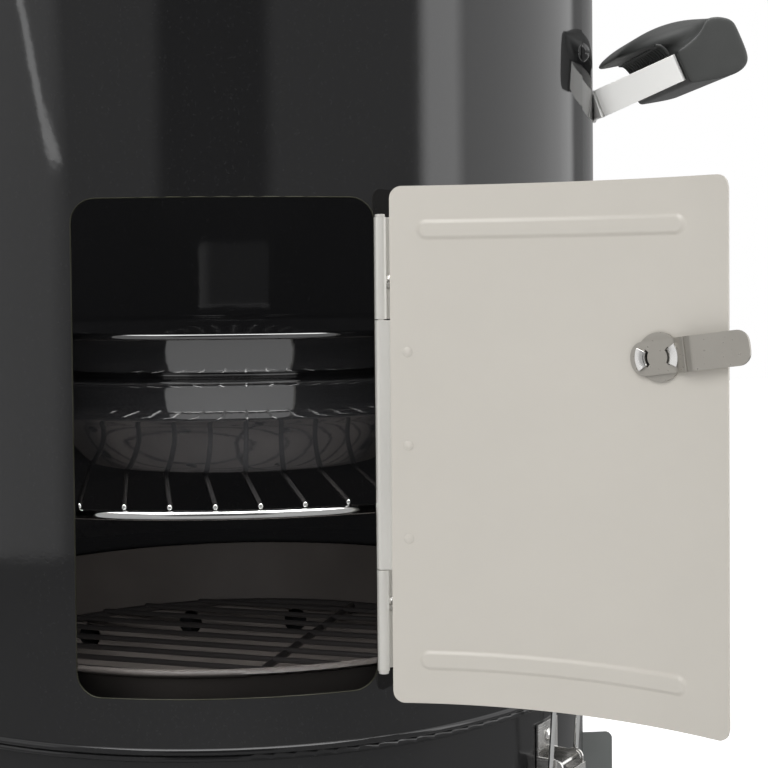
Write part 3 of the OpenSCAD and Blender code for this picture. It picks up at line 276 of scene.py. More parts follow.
class Recipe:
    """A Geometry Nodes tree under construction, with named inputs for its sizes."""

    def __init__(self, name, **inputs):
        self.tree = bpy.data.node_groups.new(name, "GeometryNodeTree")
        self.tree.interface.new_socket(name="Geometry", in_out="INPUT", socket_type="NodeSocketGeometry")
        self.tree.interface.new_socket(name="Geometry", in_out="OUTPUT", socket_type="NodeSocketGeometry")
        for label, kind in dict(inputs, Material="material").items():
            label = label.replace("_", " ")
            self.tree.interface.new_socket(name=label, in_out="INPUT", socket_type=KINDS[kind])
        self.start = self.tree.nodes.new("NodeGroupInput")
        self.end = self.tree.nodes.new("NodeGroupOutput")

    def __getitem__(self, label):
        return self.start.outputs[label]

    def node(self, kind, settings=None, out=0, **inputs):
        """One output of a new node, its inputs fed by sockets or set to values."""
        return add_node(self.tree, kind, settings, **inputs).outputs[out]

    def calc(self, operation, *values):
        """The result of a Math node."""
        return calc(self.tree, operation, *values)

    def vector(self, x=0.0, y=0.0, z=0.0):
        """A vector from its three parts."""
        return self.node("ShaderNodeCombineXYZ", X=x, Y=y, Z=z)

    def joined(self, *parts):
        """Several geometries as one."""
        node = self.tree.nodes.new("GeometryNodeJoinGeometry")
        for part in reversed(parts):
            self.tree.links.new(part, node.inputs[0])
        return node.outputs[0]

    def finish(self, geometry):
        """Ends the tree with real meshes in their material."""
        real = self.node("GeometryNodeRealizeInstances", Geometry=geometry)
        done = self.node("GeometryNodeSetMaterial", Geometry=real, Material=self["Material"])
        self.tree.links.new(done, self.end.inputs[0])
        return self.tree


def grown(name, tree, material, source=None, smoothed=True, **values):
    """A plain mesh grown by a tree, from a source mesh if it needs one."""
    data = source or bpy.data.meshes.new(name)
    obj = link(bpy.data.objects.new(name, data))
    growth = obj.modifiers.new(tree.name, "NODES")
    growth.node_group = tree
    for item in tree.interface.items_tree:
        if item.in_out == "INPUT" and item.socket_type != "NodeSocketGeometry":
            value = material if item.name == "Material" else values[item.name.replace(" ", "_")]
            growth[item.identifier] = value
    turned_out(applied(obj).data)
    for face in obj.data.polygons:
        face.use_smooth = smoothed
    if not obj.data.materials:
        obj.data.materials.append(material)
    return obj


def line_mesh(name, points, closed=False):
    """A mesh of edges through points in millimetres."""
    data = bpy.data.meshes.new(name)
    count = len(points)
    edges = [(i, (i + 1) % count) for i in range(count if closed else count - 1)]
    data.from_pydata([Vector(p) * MM for p in points], edges, [])
    return data


def wires_tree():
    """Parallel round wires that end on a ring, each with rounded ends."""
    r = Recipe("Parallel wires", Ring_Radius="length", Pitch="length", Count="count", Offset="length",
               Wire_Diameter="length", Height="length", Turn="turn")
    spread = r.calc("MULTIPLY", r.calc("SUBTRACT", r["Count"], 1.0), r["Pitch"])
    first = r.calc("MULTIPLY_ADD", spread, -0.5, r["Offset"])
    row = r.node("GeometryNodeMeshLine", Count=r["Count"], Start_Location=r.vector(y=first),
                 Offset=r.vector(y=r["Pitch"]))
    place = r.node("GeometryNodeInputPosition")
    y = r.node("ShaderNodeSeparateXYZ", out=1, Vector=place)
    half = r.calc("SQRT", r.calc("SUBTRACT", r.calc("POWER", r["Ring Radius"], 2.0), r.calc("POWER", y, 2.0)))
    stick = r.node("GeometryNodeCurvePrimitiveLine", Start=(-0.5, 0, 0), End=(0.5, 0, 0))
    sticks = r.node("GeometryNodeInstanceOnPoints", Points=row, Instance=stick,
                    Scale=r.vector(r.calc("MULTIPLY", half, 2.0), 1.0, 1.0))
    sticks = r.node("GeometryNodeRealizeInstances", Geometry=sticks)
    paths = r.node("GeometryNodeSetCurveRadius", Curve=sticks, Radius=1.0)
    radius = r.calc("MULTIPLY", r["Wire Diameter"], 0.5)
    section = r.node("GeometryNodeCurvePrimitiveCircle", Resolution=20, Radius=radius)
    wires = r.node("GeometryNodeCurveToMesh", Curve=paths, Profile_Curve=section, Fill_Caps=True)
    ball = r.node("GeometryNodeMeshUVSphere", Segments=20, Rings=12, Radius=radius)
    balls = r.node("GeometryNodeInstanceOnPoints", Points=paths, Instance=ball)
    turned = r.node("GeometryNodeTransform", Geometry=r.joined(wires, balls),
                    Translation=r.vector(z=r["Height"]), Rotation=r.vector(z=r["Turn"]))
    return r.finish(turned)


def revolved_tree():
    """A profile in the source mesh, x out and y down, revolved about the upright axis."""
    r = Recipe("Revolved profile", Segments="count")
    ring = r.node("GeometryNodeCurvePrimitiveCircle", Resolution=r["Segments"], Radius=1.0)
    path = r.node("GeometryNodeSetCurveNormal", {"mode": "Z_UP"}, Curve=ring)
    profile = r.node("GeometryNodeMeshToCurve", Mesh=r["Geometry"])
    skin = r.node("GeometryNodeCurveToMesh", Curve=path, Profile_Curve=profile)
    return r.finish(r.node("GeometryNodeMergeByDistance", Geometry=skin, Distance=0.00002))


def trim_tree():
    """A round edge bead along the source mesh's line."""
    r = Recipe("Bead along a line", Bead_Radius="length")
    path = r.node("GeometryNodeMeshToCurve", Mesh=r["Geometry"])
    section = r.node("GeometryNodeCurvePrimitiveCircle", Resolution=10, Radius=r["Bead Radius"])
    return r.finish(r.node("GeometryNodeCurveToMesh", Curve=path, Profile_Curve=section, Fill_Caps=True))


def ribs_tree():
    """The source mesh's line as a round rib, repeated in a row along X."""
    r = Recipe("Row of ribs", Count="count", Pitch="length", Rib_Radius="length")
    path = r.node("GeometryNodeMeshToCurve", Mesh=r["Geometry"])
    section = r.node("GeometryNodeCurvePrimitiveCircle", Resolution=8, Radius=r["Rib Radius"])
    rib = r.node("GeometryNodeCurveToMesh", Curve=path, Profile_Curve=section, Fill_Caps=True)
    spread = r.calc("MULTIPLY", r.calc("SUBTRACT", r["Count"], 1.0), r["Pitch"])
    start = r.vector(r.calc("MULTIPLY", spread, -0.5))
    row = r.node("GeometryNodeMeshLine", Count=r["Count"], Start_Location=start, Offset=r.vector(r["Pitch"]))
    return r.finish(r.node("GeometryNodeInstanceOnPoints", Points=row, Instance=rib))


def ticks_tree():
    """Flat marks round a part of a circle, lying in the XY plane."""
    r = Recipe("Marks round a dial", Count="count", Radius="length", Length="length", Width="length",
               Thickness="length", Start="turn", Sweep="turn")
    circle = r.node("GeometryNodeCurveArc", Resolution=128, Radius=r["Radius"], Start_Angle=r["Start"],
                    Sweep_Angle=r["Sweep"])
    points = r.node("GeometryNodeCurveToPoints", Curve=circle, Count=r["Count"])
    mark = r.node("GeometryNodeMeshCube", Size=r.vector(r["Length"], r["Thickness"], r["Width"]))
    place = r.node("GeometryNodeInputPosition")
    spin = r.node("FunctionNodeAlignRotationToVector", {"axis": "X"}, Vector=place)
    return r.finish(r.node("GeometryNodeInstanceOnPoints", Points=points, Instance=mark, Rotation=spin))


# ---- Shader helpers ----


def group_called(name, inputs, outputs):
    """A shader group by name and, if it is new and still has to be filled, its two ends."""
    if name in bpy.data.node_groups:
        return bpy.data.node_groups[name], None, None
    group = bpy.data.node_groups.new(name, "ShaderNodeTree")
    for label, value in inputs.items():
        kind = "NodeSocketVector" if isinstance(value, tuple) else "NodeSocketFloat"
        group.interface.new_socket(name=label, in_out="INPUT", socket_type=kind).default_value = value
    for label in outputs:
        group.interface.new_socket(name=label, in_out="OUTPUT", socket_type="NodeSocketFloat")
    return group, group.nodes.new("NodeGroupInput").outputs, group.nodes.new("NodeGroupOutput").inputs


def object_coords(tree):
    """Places on the piece itself, in its own coordinates."""
    return add_node(tree, "ShaderNodeTexCoord").outputs["Object"]


def noise(tree, place, scale, detail):
    """Noise over places, as a mask from 0 to 1."""
    return add_node(tree, "ShaderNodeTexNoise", Vector=place, Scale=scale, Detail=detail).outputs["Fac"]


def uneven_group():
    """Slow and fine unevenness on Object coordinates: two masks from 0 to 1 and one height."""
    scales = {"Slow Scale": 12.0, "Fine Scale": 300.0}
    group, start, end = group_called("Uneven surface", scales, ("Slow", "Fine", "Height"))
    if start is not None:
        coords, masks = object_coords(group), {}
        for label, detail in (("Slow", 2.0), ("Fine", 3.0)):
            masks[label] = noise(group, coords, start[label + " Scale"], detail)
            group.links.new(masks[label], end[label])
        group.links.new(calc(group, "MULTIPLY_ADD", masks["Fine"], 0.12, masks["Slow"]), end["Height"])
    return group


def brushed_group():
    """Fine parallel brush lines along one axis: a mask from 0 to 1."""
    group, start, end = group_called("Brush lines", {"Stretch": (20.0, 20.0, 900.0)}, ("Lines",))
    if start is not None:
        stretched = product(group, object_coords(group), start["Stretch"])
        group.links.new(noise(group, stretched, 1.0, 4.0), end["Lines"])
    return group


def dust_group():
    """Sparse fine specks: a mask from 0 to 1."""
    group, start, end = group_called("Fine specks", {"Scale": 700.0, "Amount": 0.3}, ("Specks",))
    if start is not None:
        peaks = ranged(group, noise(group, object_coords(group), start["Scale"], 1.0), 0.0, 1.0, 0.62, 0.74)
        group.links.new(calc(group, "MULTIPLY", peaks, start["Amount"]), end["Specks"])
    return group


def placed(tree, group, **values):
    """A shader group as a node of a tree."""
    return add_node(tree, "ShaderNodeGroup", {"node_tree": group}, **values)


def product(tree, vector, factor):
    """A vector multiplied part by part."""
    node = add_node(tree, "ShaderNodeVectorMath", {"operation": "MULTIPLY"})
    plug(tree, node.inputs[0], vector)
    plug(tree, node.inputs[1], factor)
    return node.outputs[0]


def off_axis(tree):
    """Distance from the smoker's upright axis."""
    flat = product(tree, object_coords(tree), (1, 1, 0))
    return add_node(tree, "ShaderNodeVectorMath", {"operation": "LENGTH"}, Vector=flat).outputs["Value"]


def colour_mix(tree, factor, dark, light):
    """Colour between two, by a mask."""
    ends = {"A": (*dark, 1.0), "B": (*light, 1.0)}
    return add_node(tree, "ShaderNodeMix", {"data_type": "RGBA"}, Factor=factor, **ends).outputs["Result"]


def toned(tree, colour, share):
    """A colour multiplied by a mask or by another colour."""
    settings = {"data_type": "RGBA", "blend_type": "MULTIPLY"}
    return add_node(tree, "ShaderNodeMix", settings, Factor=1.0, A=colour, B=share).outputs["Result"]


def ranged(tree, factor, low, high, start=0.3, end=0.7):
    """A mask mapped onto a range of values."""
    node = add_node(tree, "ShaderNodeMapRange", Value=factor, From_Min=start, From_Max=end)
    feed(tree, node, To_Min=low, To_Max=high)
    return node.outputs["Result"]


def new_material(name):
    """An empty material with one Principled shader on its output."""
    material = bpy.data.materials.new(name)
    material.use_nodes = True
    tree = material.node_tree
    return material, tree, tree.nodes["Principled BSDF"]


def glowing(name, strength):
    """A material that only gives off light."""
    material = bpy.data.materials.new(name)
    material.use_nodes = True
    tree = material.node_tree
    tree.nodes.clear()
    glow = add_node(tree, "ShaderNodeEmission", Strength=strength)
    add_node(tree, "ShaderNodeOutputMaterial", Surface=glow.outputs[0])
    return material, tree, glow


def shader_mix(tree, factor, first, second):
    """One shader where a mask is 0 and another where it is 1."""
    node = tree.nodes.new("ShaderNodeMixShader")
    for socket, value in zip(node.inputs, (factor, first, second)):
        tree.links.new(value, socket)
    return node.outputs[0]


def bumped(tree, shader, height, strength, distance, edge=None):
    """Feeds a height into the shader's normal, over softly rounded edges if a radius is given."""
    bump = add_node(tree, "ShaderNodeBump", Strength=strength, Distance=distance * MM, Height=height)
    if edge:
        rounded = add_node(tree, "ShaderNodeBevel", {"samples": 4}, Radius=edge * MM)
        feed(tree, bump, Normal=rounded.outputs["Normal"])
    feed(tree, shader, Normal=bump.outputs["Normal"])


def enamel(name, colour, rough, waves, ior=1.5):
    """Glassy fired enamel: slow waves in its gloss and a few fine specks."""
    material, tree, shader = new_material(name)
    uneven = placed(tree, uneven_group(), Slow_Scale=34.0, Fine_Scale=420.0)
    dust = placed(tree, dust_group(), Scale=900.0, Amount=0.3)
    pale = tuple(min(1.0, c * 2.2 + 0.01) for c in colour)
    feed(tree, shader, Base_Color=colour_mix(tree, dust.outputs["Specks"], colour, pale), IOR=ior,
         Roughness=ranged(tree, uneven.outputs["Slow"], rough * 0.8, rough * 1.25))
    bumped(tree, shader, uneven.outputs["Height"], 1.0, waves)
    return material


def plated(name, colour, rough, stretch, edge=0.35):
    """Plated or brushed steel with fine drawn lines."""
    material, tree, shader = new_material(name)
    brush = placed(tree, brushed_group(), Stretch=stretch)
    uneven = placed(tree, uneven_group(), Slow_Scale=22.0, Fine_Scale=260.0)
    dark = tuple(max(0.0, c - 0.08) for c in colour)
    feed(tree, shader, Base_Color=colour_mix(tree, uneven.outputs["Slow"], dark, colour), Metallic=1.0,
         Roughness=ranged(tree, brush.outputs["Lines"], rough * 0.75, rough * 1.3))
    bumped(tree, shader, brush.outputs["Lines"], 1.0, 0.02, edge)
    return material


def paint(name, colour, rough, grain=0.03, grain_scale=900.0, edge=0.5, variety=0.25, metallic=0.0):
    """Paint, plastic, rubber or dull steel with a fine moulded or sprayed grain."""
    material, tree, shader = new_material(name)
    uneven = placed(tree, uneven_group(), Slow_Scale=30.0, Fine_Scale=grain_scale)
    dark = tuple(c * (1 - variety) for c in colour)
    light = tuple(min(1.0, c * (1 + variety)) for c in colour)
    feed(tree, shader, Base_Color=colour_mix(tree, uneven.outputs["Slow"], dark, light), Metallic=metallic,
         Roughness=ranged(tree, uneven.outputs["Fine"], rough * 0.85, min(1.0, rough * 1.15)))
    bumped(tree, shader, uneven.outputs["Fine"], 1.0, grain, edge)
    return material


def glass(name):
    """Clear glass with a faint unevenness in its gloss."""
    material, tree, shader = new_material(name)
    uneven = placed(tree, uneven_group(), Slow_Scale=8.0, Fine_Scale=200.0)
    feed(tree, shader, Transmission_Weight=1.0, IOR=1.45,
         Roughness=ranged(tree, uneven.outputs["Slow"], 0.01, 0.03))
    return material


def shaded_outwards(material, shade_from, shade_full, level):
    """Paints shade into a material outwards, from one distance off the smoker's axis to another: darker towards
    the outer wall and lip.
    """
    tree = material.node_tree
    shader = tree.nodes["Principled BSDF"]
    colour = shader.inputs["Base Color"].links[0].from_socket
    # painted shade: the colour falls off to the given level between the two distances from the axis
    painted_shade = ranged(tree, off_axis(tree), 1.0, level, shade_from * MM, shade_full * MM)
    feed(tree, shader, Base_Color=toned(tree, colour, painted_shade))
    return material


# ---- Settings ----


def size(name, text, value):
    """A length in millimetres that a user may change."""
    return FloatProperty(name=name, description=text + ", in millimetres", default=value, min=0.0)


def angle(name, text, value):
    """An angle that a user may change."""
    return FloatProperty(name=name, description=text, default=value, subtype="ANGLE")


def watts(name, text, value):
    """A lamp's power that a user may change."""
    return FloatProperty(name=name, description=text, default=value, unit="POWER")


def tint(name, text, value):
    """A colour that a user may change."""
    return FloatVectorProperty(name=name, description=text, subtype="COLOR", size=3, default=value)


class StageSettings(bpy.types.PropertyGroup):
    lens: FloatProperty(name="Lens", description="Focal length in millimetres", default=72.02)
    distance: FloatProperty(name="Distance", description="From the axis", default=0.9739, unit="LENGTH")
    height: FloatProperty(name="Height", description="Camera's height", default=0.6355, unit="LENGTH")
    yaw: angle("Yaw", "Turn to the right", 0.0973)
    pitch: angle("Pitch", "Tilt down", 0.03)
    roll: angle("Roll", "Turn about the view", -0.0091)
    shift: FloatProperty(name="Shift", description="Vertical shift of the lens", default=-0.0783)
    ambient: FloatProperty(name="Ambient", description="Strength of the room's soft light", default=0.36)
    key: watts("Key", "Power of the left softbox", 32.0)
    fill: watts("Fill", "Power of the right softbox", 18.5)
    top: watts("Top", "Power of the overhead softbox", 24.0)
    front: watts("Front", "Power of the softbox by the camera", 5.5)
    inside: watts("Inside", "Power of the light in the fuel opening", 0.72)
    chamber: watts("Chamber", "Power of the light over the water pan", 0.9)


class FinishSettings(bpy.types.PropertyGroup):
    enamel: tint("Enamel", "Colour of the black enamel", (0.009, 0.009, 0.0095))
    door: tint("Door", "Colour of the door's steel", (0.566, 0.537, 0.485))
    grip: tint("Grips", "Colour of the moulded grips", (0.052, 0.054, 0.052))


class DoorSettings(bpy.types.PropertyGroup):
    sheet: size("Sheet", "Thickness of the door's steel", 1.1)
    corner: size("Corner", "Radius of the door's corners", 6.0)
    rib_width: size("Rib width", "Width of a pressed rib", 9.0)
    rib_depth: size("Rib depth", "Depth of a pressed rib", 1.4)
    rib_inset: size("Rib inset", "From the door's top or bottom edge to a rib's middle", 21.5)
    rib_near: size("Rib near end", "From the door's hinge edge to a rib", 13.7)
    rib_far: size("Rib far end", "From the door's latch edge to a rib", 22.5)


class LatchSettings(bpy.types.PropertyGroup):
    reach: size("Reach", "From the shaft to the tongue's tip", 48.3)
    width: size("Width", "Width of the tongue", 16.0)
    sheet: size("Sheet", "Thickness of the tongue", 1.5)
    set_in: size("Set", "How far the tongue's end is set inwards", 5.6)
    face: size("Face", "From the door's inner face to the tongue's face", 3.45)
    slot_radius: size("Slot radius", "From the shaft's middle to a slot's middle", 6.1)
    slot_width: size("Slot width", "Width of a slot", 2.0)
    wing_length: size("Wing length", "Length of the outside wing", 46.0)
    wing_out: size("Wing height", "How far the wing stands out", 24.0)


class HandleSettings(bpy.types.PropertyGroup):
    root: size("Root", "From the barrel's axis to the handle's root", 219.9)
    wall: size("Wall", "From the barrel's axis to the wall's outside", 225.0)
    rise: angle("Rise", "Upward slope of the arms", math.radians(24.1))
    strap_width: size("Strap width", "Width of the strap", 17.0)
    strap_sheet: size("Strap thickness", "Thickness of the strap", 2.0)
    span: size("Span", "Outside width across the strap's arms", 116.0)
    reach: size("Reach", "From the root to the strap's cross bar", 57.8)
    foot: size("Foot", "Length of each foot on the barrel", 24.0)
    grip_length: size("Grip length", "Length of a grip", 120.0)
    ribs: IntProperty(name="Ribs", description="Finger ribs inside a grip", default=17, min=1)
    rib_pitch: size("Rib pitch", "From one finger rib to the next", 5.6)


class GrateSettings(bpy.types.PropertyGroup):
    pitch: size("Pitch", "From one cooking wire to the next", 22.4)
    wire: size("Wire", "Diameter of the cooking wires", 3.2)
    bar_pitch: size("Bar pitch", "From one charcoal bar to the next", 25.0)
    bar: size("Bar", "Diameter of the charcoal bars", 3.6)
    low_turn: angle("Low turn", "Turn of the lower grate", math.radians(3.3))
    bar_turn: angle("Bar turn", "Turn of the charcoal grate", math.radians(-23))
    cross_offset: size("Cross bar offset", "From the grate's middle to its cross bar", 23.7)
    cross_turn: angle("Cross bar turn", "From the charcoal bars to the cross bar", math.radians(92))


class PanSettings(bpy.types.PropertyGroup):
    sheet: size("Sheet", "Thickness of the water pan", 1.2)
    bead: size("Rim bead", "Radius of the rolled rim", 1.8)
    segments: IntProperty(name="Segments", description="Segments round the pan", default=288, min=24)


class OpeningSettings(bpy.types.PropertyGroup):
    wall: size("Wall", "From the barrel's axis to the edge's middle", 224.75)
    middle: angle("Middle", "Bearing of the opening's middle", math.radians(-1.3))
    width: size("Width", "Width of the opening", 148.8)
    low: size("Low", "Height of the opening's lower edge", 430.3)
    high: size("High", "Height of the opening's upper edge", 675.4)
    corner: size("Corner", "Radius of the opening's corners", 12.0)
    bead: size("Bead", "Radius of the bare edge", 0.34)


# ---- Operators ----


# The studio's cards from the back round by the left, the front and the right to the back again: where each
# one starts, as a bearing from the front in degrees, and its brightness to glossy surfaces
CARDS = (
    (-180, 0.35),  # dim back
    (-115, 0.8),  # pale wall at the left
    (-50, 0.4),  # grey board at the left
    (-20, 0.1),  # dark board at the front
    (10, 0.4),  # grey board at the right
    (55, 3.0),  # softbox at the right
    (68, 1.5),  # pale wall at the right
    (125, 0.35),  # dim back
)
CARD_SOFT = 4.0  # degrees over which one card passes into the next
CARD_SCALE = 3.0  # brightness of the brightest card


class SMOKER_OT_stage(bpy.types.Operator):
    """Adds the floor, the lamps, the room's light and the camera"""

    bl_idname = "smoker.stage"
    bl_label = "Floor, lamps and camera"

    def execute(self, context):
        s = context.scene.smoker_stage
        context.scene.view_settings.view_transform = "Standard"
        self.camera(s)
        self.room(s.ambient)
        self.floor()
        self.surround()
        self.strip()
        self.ceiling()
        aim = (0, 0, 0.6)
        self.lamp("Key softbox", (-1.5, -2.0, 2.2), (1.6, 1.6), s.key, aim)
        self.lamp("Fill softbox", (2.2, -1.0, 1.4), (1.0, 1.8), s.fill, aim)
        self.lamp("Top softbox", (0.2, 0.4, 3.0), (2.0, 2.0), s.top, aim)
        self.lamp("Front softbox", (-0.1, -1.9, 0.85), (0.7, 0.7), s.front, (0, 0, 0.5))
        self.lamp("Opening light", (0, -0.2, 0.492), (0.13, 0.035), s.inside, (0, 0.2, 0.42))
        self.lamp("Chamber light", (0, -0.14, 0.73), (0.25, 0.08), s.chamber, (0, 0.2, 0.7))
        return {"FINISHED"}

    def camera(self, s):
        """A camera in front of the smoker that looks a little down and to the right."""
        camera = bpy.data.cameras.new("Camera")
        camera.lens, camera.sensor_width, camera.shift_y = s.lens, 36, s.shift
        camera.clip_start, camera.clip_end = 0.01, 60
        eye = link(bpy.data.objects.new("Camera", camera))
        look = Matrix.Rotation(-s.yaw, 4, "Z") @ Matrix.Rotation(math.pi / 2 - s.pitch, 4, "X")
        look = look @ Matrix.Rotation(s.roll, 4, "Z")
        eye.matrix_world = Matrix.Translation((0, -s.distance, s.height)) @ look
        bpy.context.scene.camera = eye

    def room(self, ambient):
        """White to the eye and in reflections, and a plain soft light on everything else."""
        world = bpy.context.scene.world or bpy.data.worlds.new("Room")
        bpy.context.scene.world = world
        world.use_nodes = True
        tree = world.node_tree
        tree.nodes.clear()
        rays = add_node(tree, "ShaderNodeLightPath").outputs
        seen = calc(tree, "ADD", rays["Is Camera Ray"], rays["Is Glossy Ray"])
        seen = calc(tree, "ADD", seen, rays["Is Transmission Ray"], clamp=True)
        soft = add_node(tree, "ShaderNodeBackground", Color=WHITE, Strength=ambient)
        white = add_node(tree, "ShaderNodeBackground", Color=WHITE, Strength=1.0)
        mix = shader_mix(tree, seen, soft.outputs[0], white.outputs[0])
        add_node(tree, "ShaderNodeOutputWorld", Surface=mix)

    def floor(self):
        """A pale floor that keeps the object's shadow and fades to white away from it."""
        material, tree, shader = new_material("Pale floor")
        rays = add_node(tree, "ShaderNodeLightPath").outputs
        uneven = placed(tree, uneven_group(), Slow_Scale=2.0, Fine_Scale=60.0)
        pale = colour_mix(tree, uneven.outputs["Slow"], (0.86, 0.86, 0.86), (0.9, 0.9, 0.9))
        mirrored = colour_mix(tree, rays["Is Glossy Ray"], (1, 1, 1), (0.38, 0.38, 0.38))
        feed(tree, shader, Base_Color=toned(tree, pale, mirrored), Roughness=0.8)
        glow = add_node(tree, "ShaderNodeEmission", Strength=ranged(tree, off_axis(tree), 0.3, 1.0, 0.6, 1.7))
        lit = tree.nodes.new("ShaderNodeAddShader")
        tree.links.new(shader.outputs[0], lit.inputs[0])
        tree.links.new(glow.outputs[0], lit.inputs[1])
        seen = shader_mix(tree, rays["Is Camera Ray"], shader.outputs[0], lit.outputs[0])
        feed(tree, tree.nodes["Material Output"], Surface=seen)
        half = 8000
        corners = [(-half, -half, 0), (half, -half, 0), (half, half, 0), (-half, half, 0)]
        mesh_object("floor", corners, [(0, 1, 2, 3)], material, False)

    def surround(self):
        """Dark and pale cards in a ring round the smoker."""
        material, tree, glow = glowing("Studio cards", CARD_SCALE)
        split = add_node(tree, "ShaderNodeSeparateXYZ", Vector=object_coords(tree))
        bearing = calc(tree, "ARCTAN2", split.outputs["X"], calc(tree, "MULTIPLY", split.outputs["Y"], -1.0))
        ramp = add_node(tree, "ShaderNodeValToRGB", Fac=ranged(tree, bearing, 0.0, 1.0, -math.pi, math.pi))
        feed(tree, glow, Color=ramp.outputs["Color"])
        stops = [CARDS[0]]
        for (start, level), (_, before) in zip(CARDS[1:], CARDS):
            stops += [(start - CARD_SOFT / 2, before), (start + CARD_SOFT / 2, level)]
        stops.append((180, CARDS[-1][1]))
        places = ramp.color_ramp.elements
        while len(places) < len(stops):
            places.new(0.5)
        for place, (turn, level) in zip(places, stops):
            place.position = (turn + 180) / 360
            place.color = (level / CARD_SCALE,) * 3 + (1.0,)
        rings = [[(x, y, z) for x, y in arc((0, 0), 3000, 0, 357, 120)] for z in (-200, 4500)]
        self.mirrored_only(loft("studio_cards", rings, material, capped=False))

    def strip(self):
        """A slanted strip light."""
        material = glowing("Strip light", 3.2)[0]
        radius, half_wide = 2950, 1.1
        rows = []
        for bearing, z in ((-50.5, 900), (-54, 1040), (-58, 1200), (-68, 1600)):
            turns = [math.radians(bearing + side) for side in (-half_wide, half_wide)]
            rows.append([(radius * math.sin(t), -radius * math.cos(t), z) for t in turns])
        self.mirrored_only(loft("strip_light", rows, material, closed=False, capped=False))

    def ceiling(self):
        """A pale card overhead, in front of the smoker."""
        material = glowing("Ceiling card", 5.0)[0]
        half, near, far, z = 1500, -2600, -300, 3000
        corners = [(-half, near, z), (half, near, z), (half, far, z), (-half, far, z)]
        self.mirrored_only(mesh_object("ceiling_card", corners, [(3, 2, 1, 0)], material, False))

    def mirrored_only(self, card):
        """Leaves a card to glossy surfaces alone."""
        card.visible_camera = card.visible_diffuse = card.visible_shadow = card.visible_transmission = False

    def lamp(self, name, place, extent, energy, aim):
        """A rectangular lamp that glossy surfaces don't show."""
        light = bpy.data.lights.new(name, "AREA")
        light.shape = "RECTANGLE"
        light.size, light.size_y = extent
        light.energy = energy
        lamp = link(bpy.data.objects.new(name, light))
        lamp.location = place
        lamp.visible_glossy = False
        lamp.rotation_euler = (Vector(aim) - Vector(place)).to_track_quat("-Z", "Y").to_euler()


# Solids whose finish differs from the rest of their slot
OTHER_FINISH = {
    "hinge_barrel_leaf": "hinge_steel",
    "hinge_door_leaf": "hinge_steel",
    "hinge_pin": "hinge_steel",
    "door_rivets": "door_steel",
    "latch_washer": "latch_steel",
    "barrel_bolts": "enamel_barrel",
}


class SMOKER_OT_finishes(bpy.types.Operator):
    """Makes the materials and lays them on the metalwork"""

    bl_idname = "smoker.finishes"
    bl_label = "Finishes"

    def execute(self, context):
        s = context.scene.smoker_finish
        black = tuple(s.enamel)
        pan_colour = (0.21, 0.187, 0.174)
        MATERIALS.update({
            "enamel_barrel": enamel("Barrel enamel", black, 0.05, 0.05),
            "enamel_base": enamel("Base enamel", black, 0.16, 0.05),
            "enamel_lid": enamel("Lid enamel", black, 0.07, 0.05),
            "enamel_pan": enamel("Pan enamel", black, 0.06, 0.12, 2.7),
            "enamel_grate": enamel("Charcoal grate enamel", (0.012, 0.011, 0.011), 0.35, 0.1),
            # The charcoal pan's steel has painted shade: darker from 158 mm off the axis out to its wall and lip
            "pan_steel": shaded_outwards(paint("Pan steel", pan_colour, 0.45, 0.03, 500.0), 158.0, 180.0, 0.16),
            "leg_paint": paint("Leg paint", (0.16, 0.17, 0.165), 0.4),
            "rubber_cap": paint("Foot cap rubber", (0.02, 0.02, 0.02), 0.8),
            "zinc_steel": plated("Zinc plate", (0.62, 0.62, 0.6), 0.3, (40, 40, 500)),
            "door_steel": paint("Door steel", tuple(s.door), 0.42, 0.02, 1500.0, None, 0.02),
            "chrome_wire": plated("Chrome wire", (0.86, 0.86, 0.85), 0.08, (60, 60, 60), None),
            "plated_steel": plated("Plated sheet", (0.8, 0.79, 0.77), 0.22, (60, 60, 700)),
            "moulded_plastic": paint("Moulded grip", tuple(s.grip), 0.42, 0.04, 1100.0),
            "gauge_case": plated("Gauge case", (0.85, 0.85, 0.84), 0.15, (40, 40, 40)),
            "gauge_dial": paint("Dial face", (0.85, 0.85, 0.83), 0.4, 0.0),
            "gauge_needle": paint("Needle paint", (0.6, 0.03, 0.02), 0.35),
            "latch_steel": paint("Latch steel", (0.37, 0.35, 0.315), 0.32, 0.004, 700.0, None, 0.08, 0.55),
            "prong_steel": plated("Prong steel", (0.9, 0.89, 0.87), 0.18, (60, 60, 300)),
            "strap_steel": paint("Strap steel", (0.95, 0.945, 0.92), 0.4, 0.01, 1500.0, 0.3, 0.03, 0.15),
            "hinge_steel": paint("Hinge steel", (0.72, 0.705, 0.66), 0.34, 0.01, 1500.0, 0.25, 0.05, 0.4),
            "cut_edge": plated("Cut edge", (0.1, 0.1, 0.085), 0.4, (80, 80, 80), None),
            "dial_ink": paint("Dial ink", (0.02, 0.02, 0.02), 0.5, 0.0),
            "gauge_glass": glass("Gauge glass"),
        })
        for row in frame["record"]["subparts"]:
            node = NODES[row["node"]]
            node.data.materials.clear()
            node.data.materials.append(MATERIALS[OTHER_FINISH.get(row["node"], row["material_slot"])])
        return {"FINISHED"}


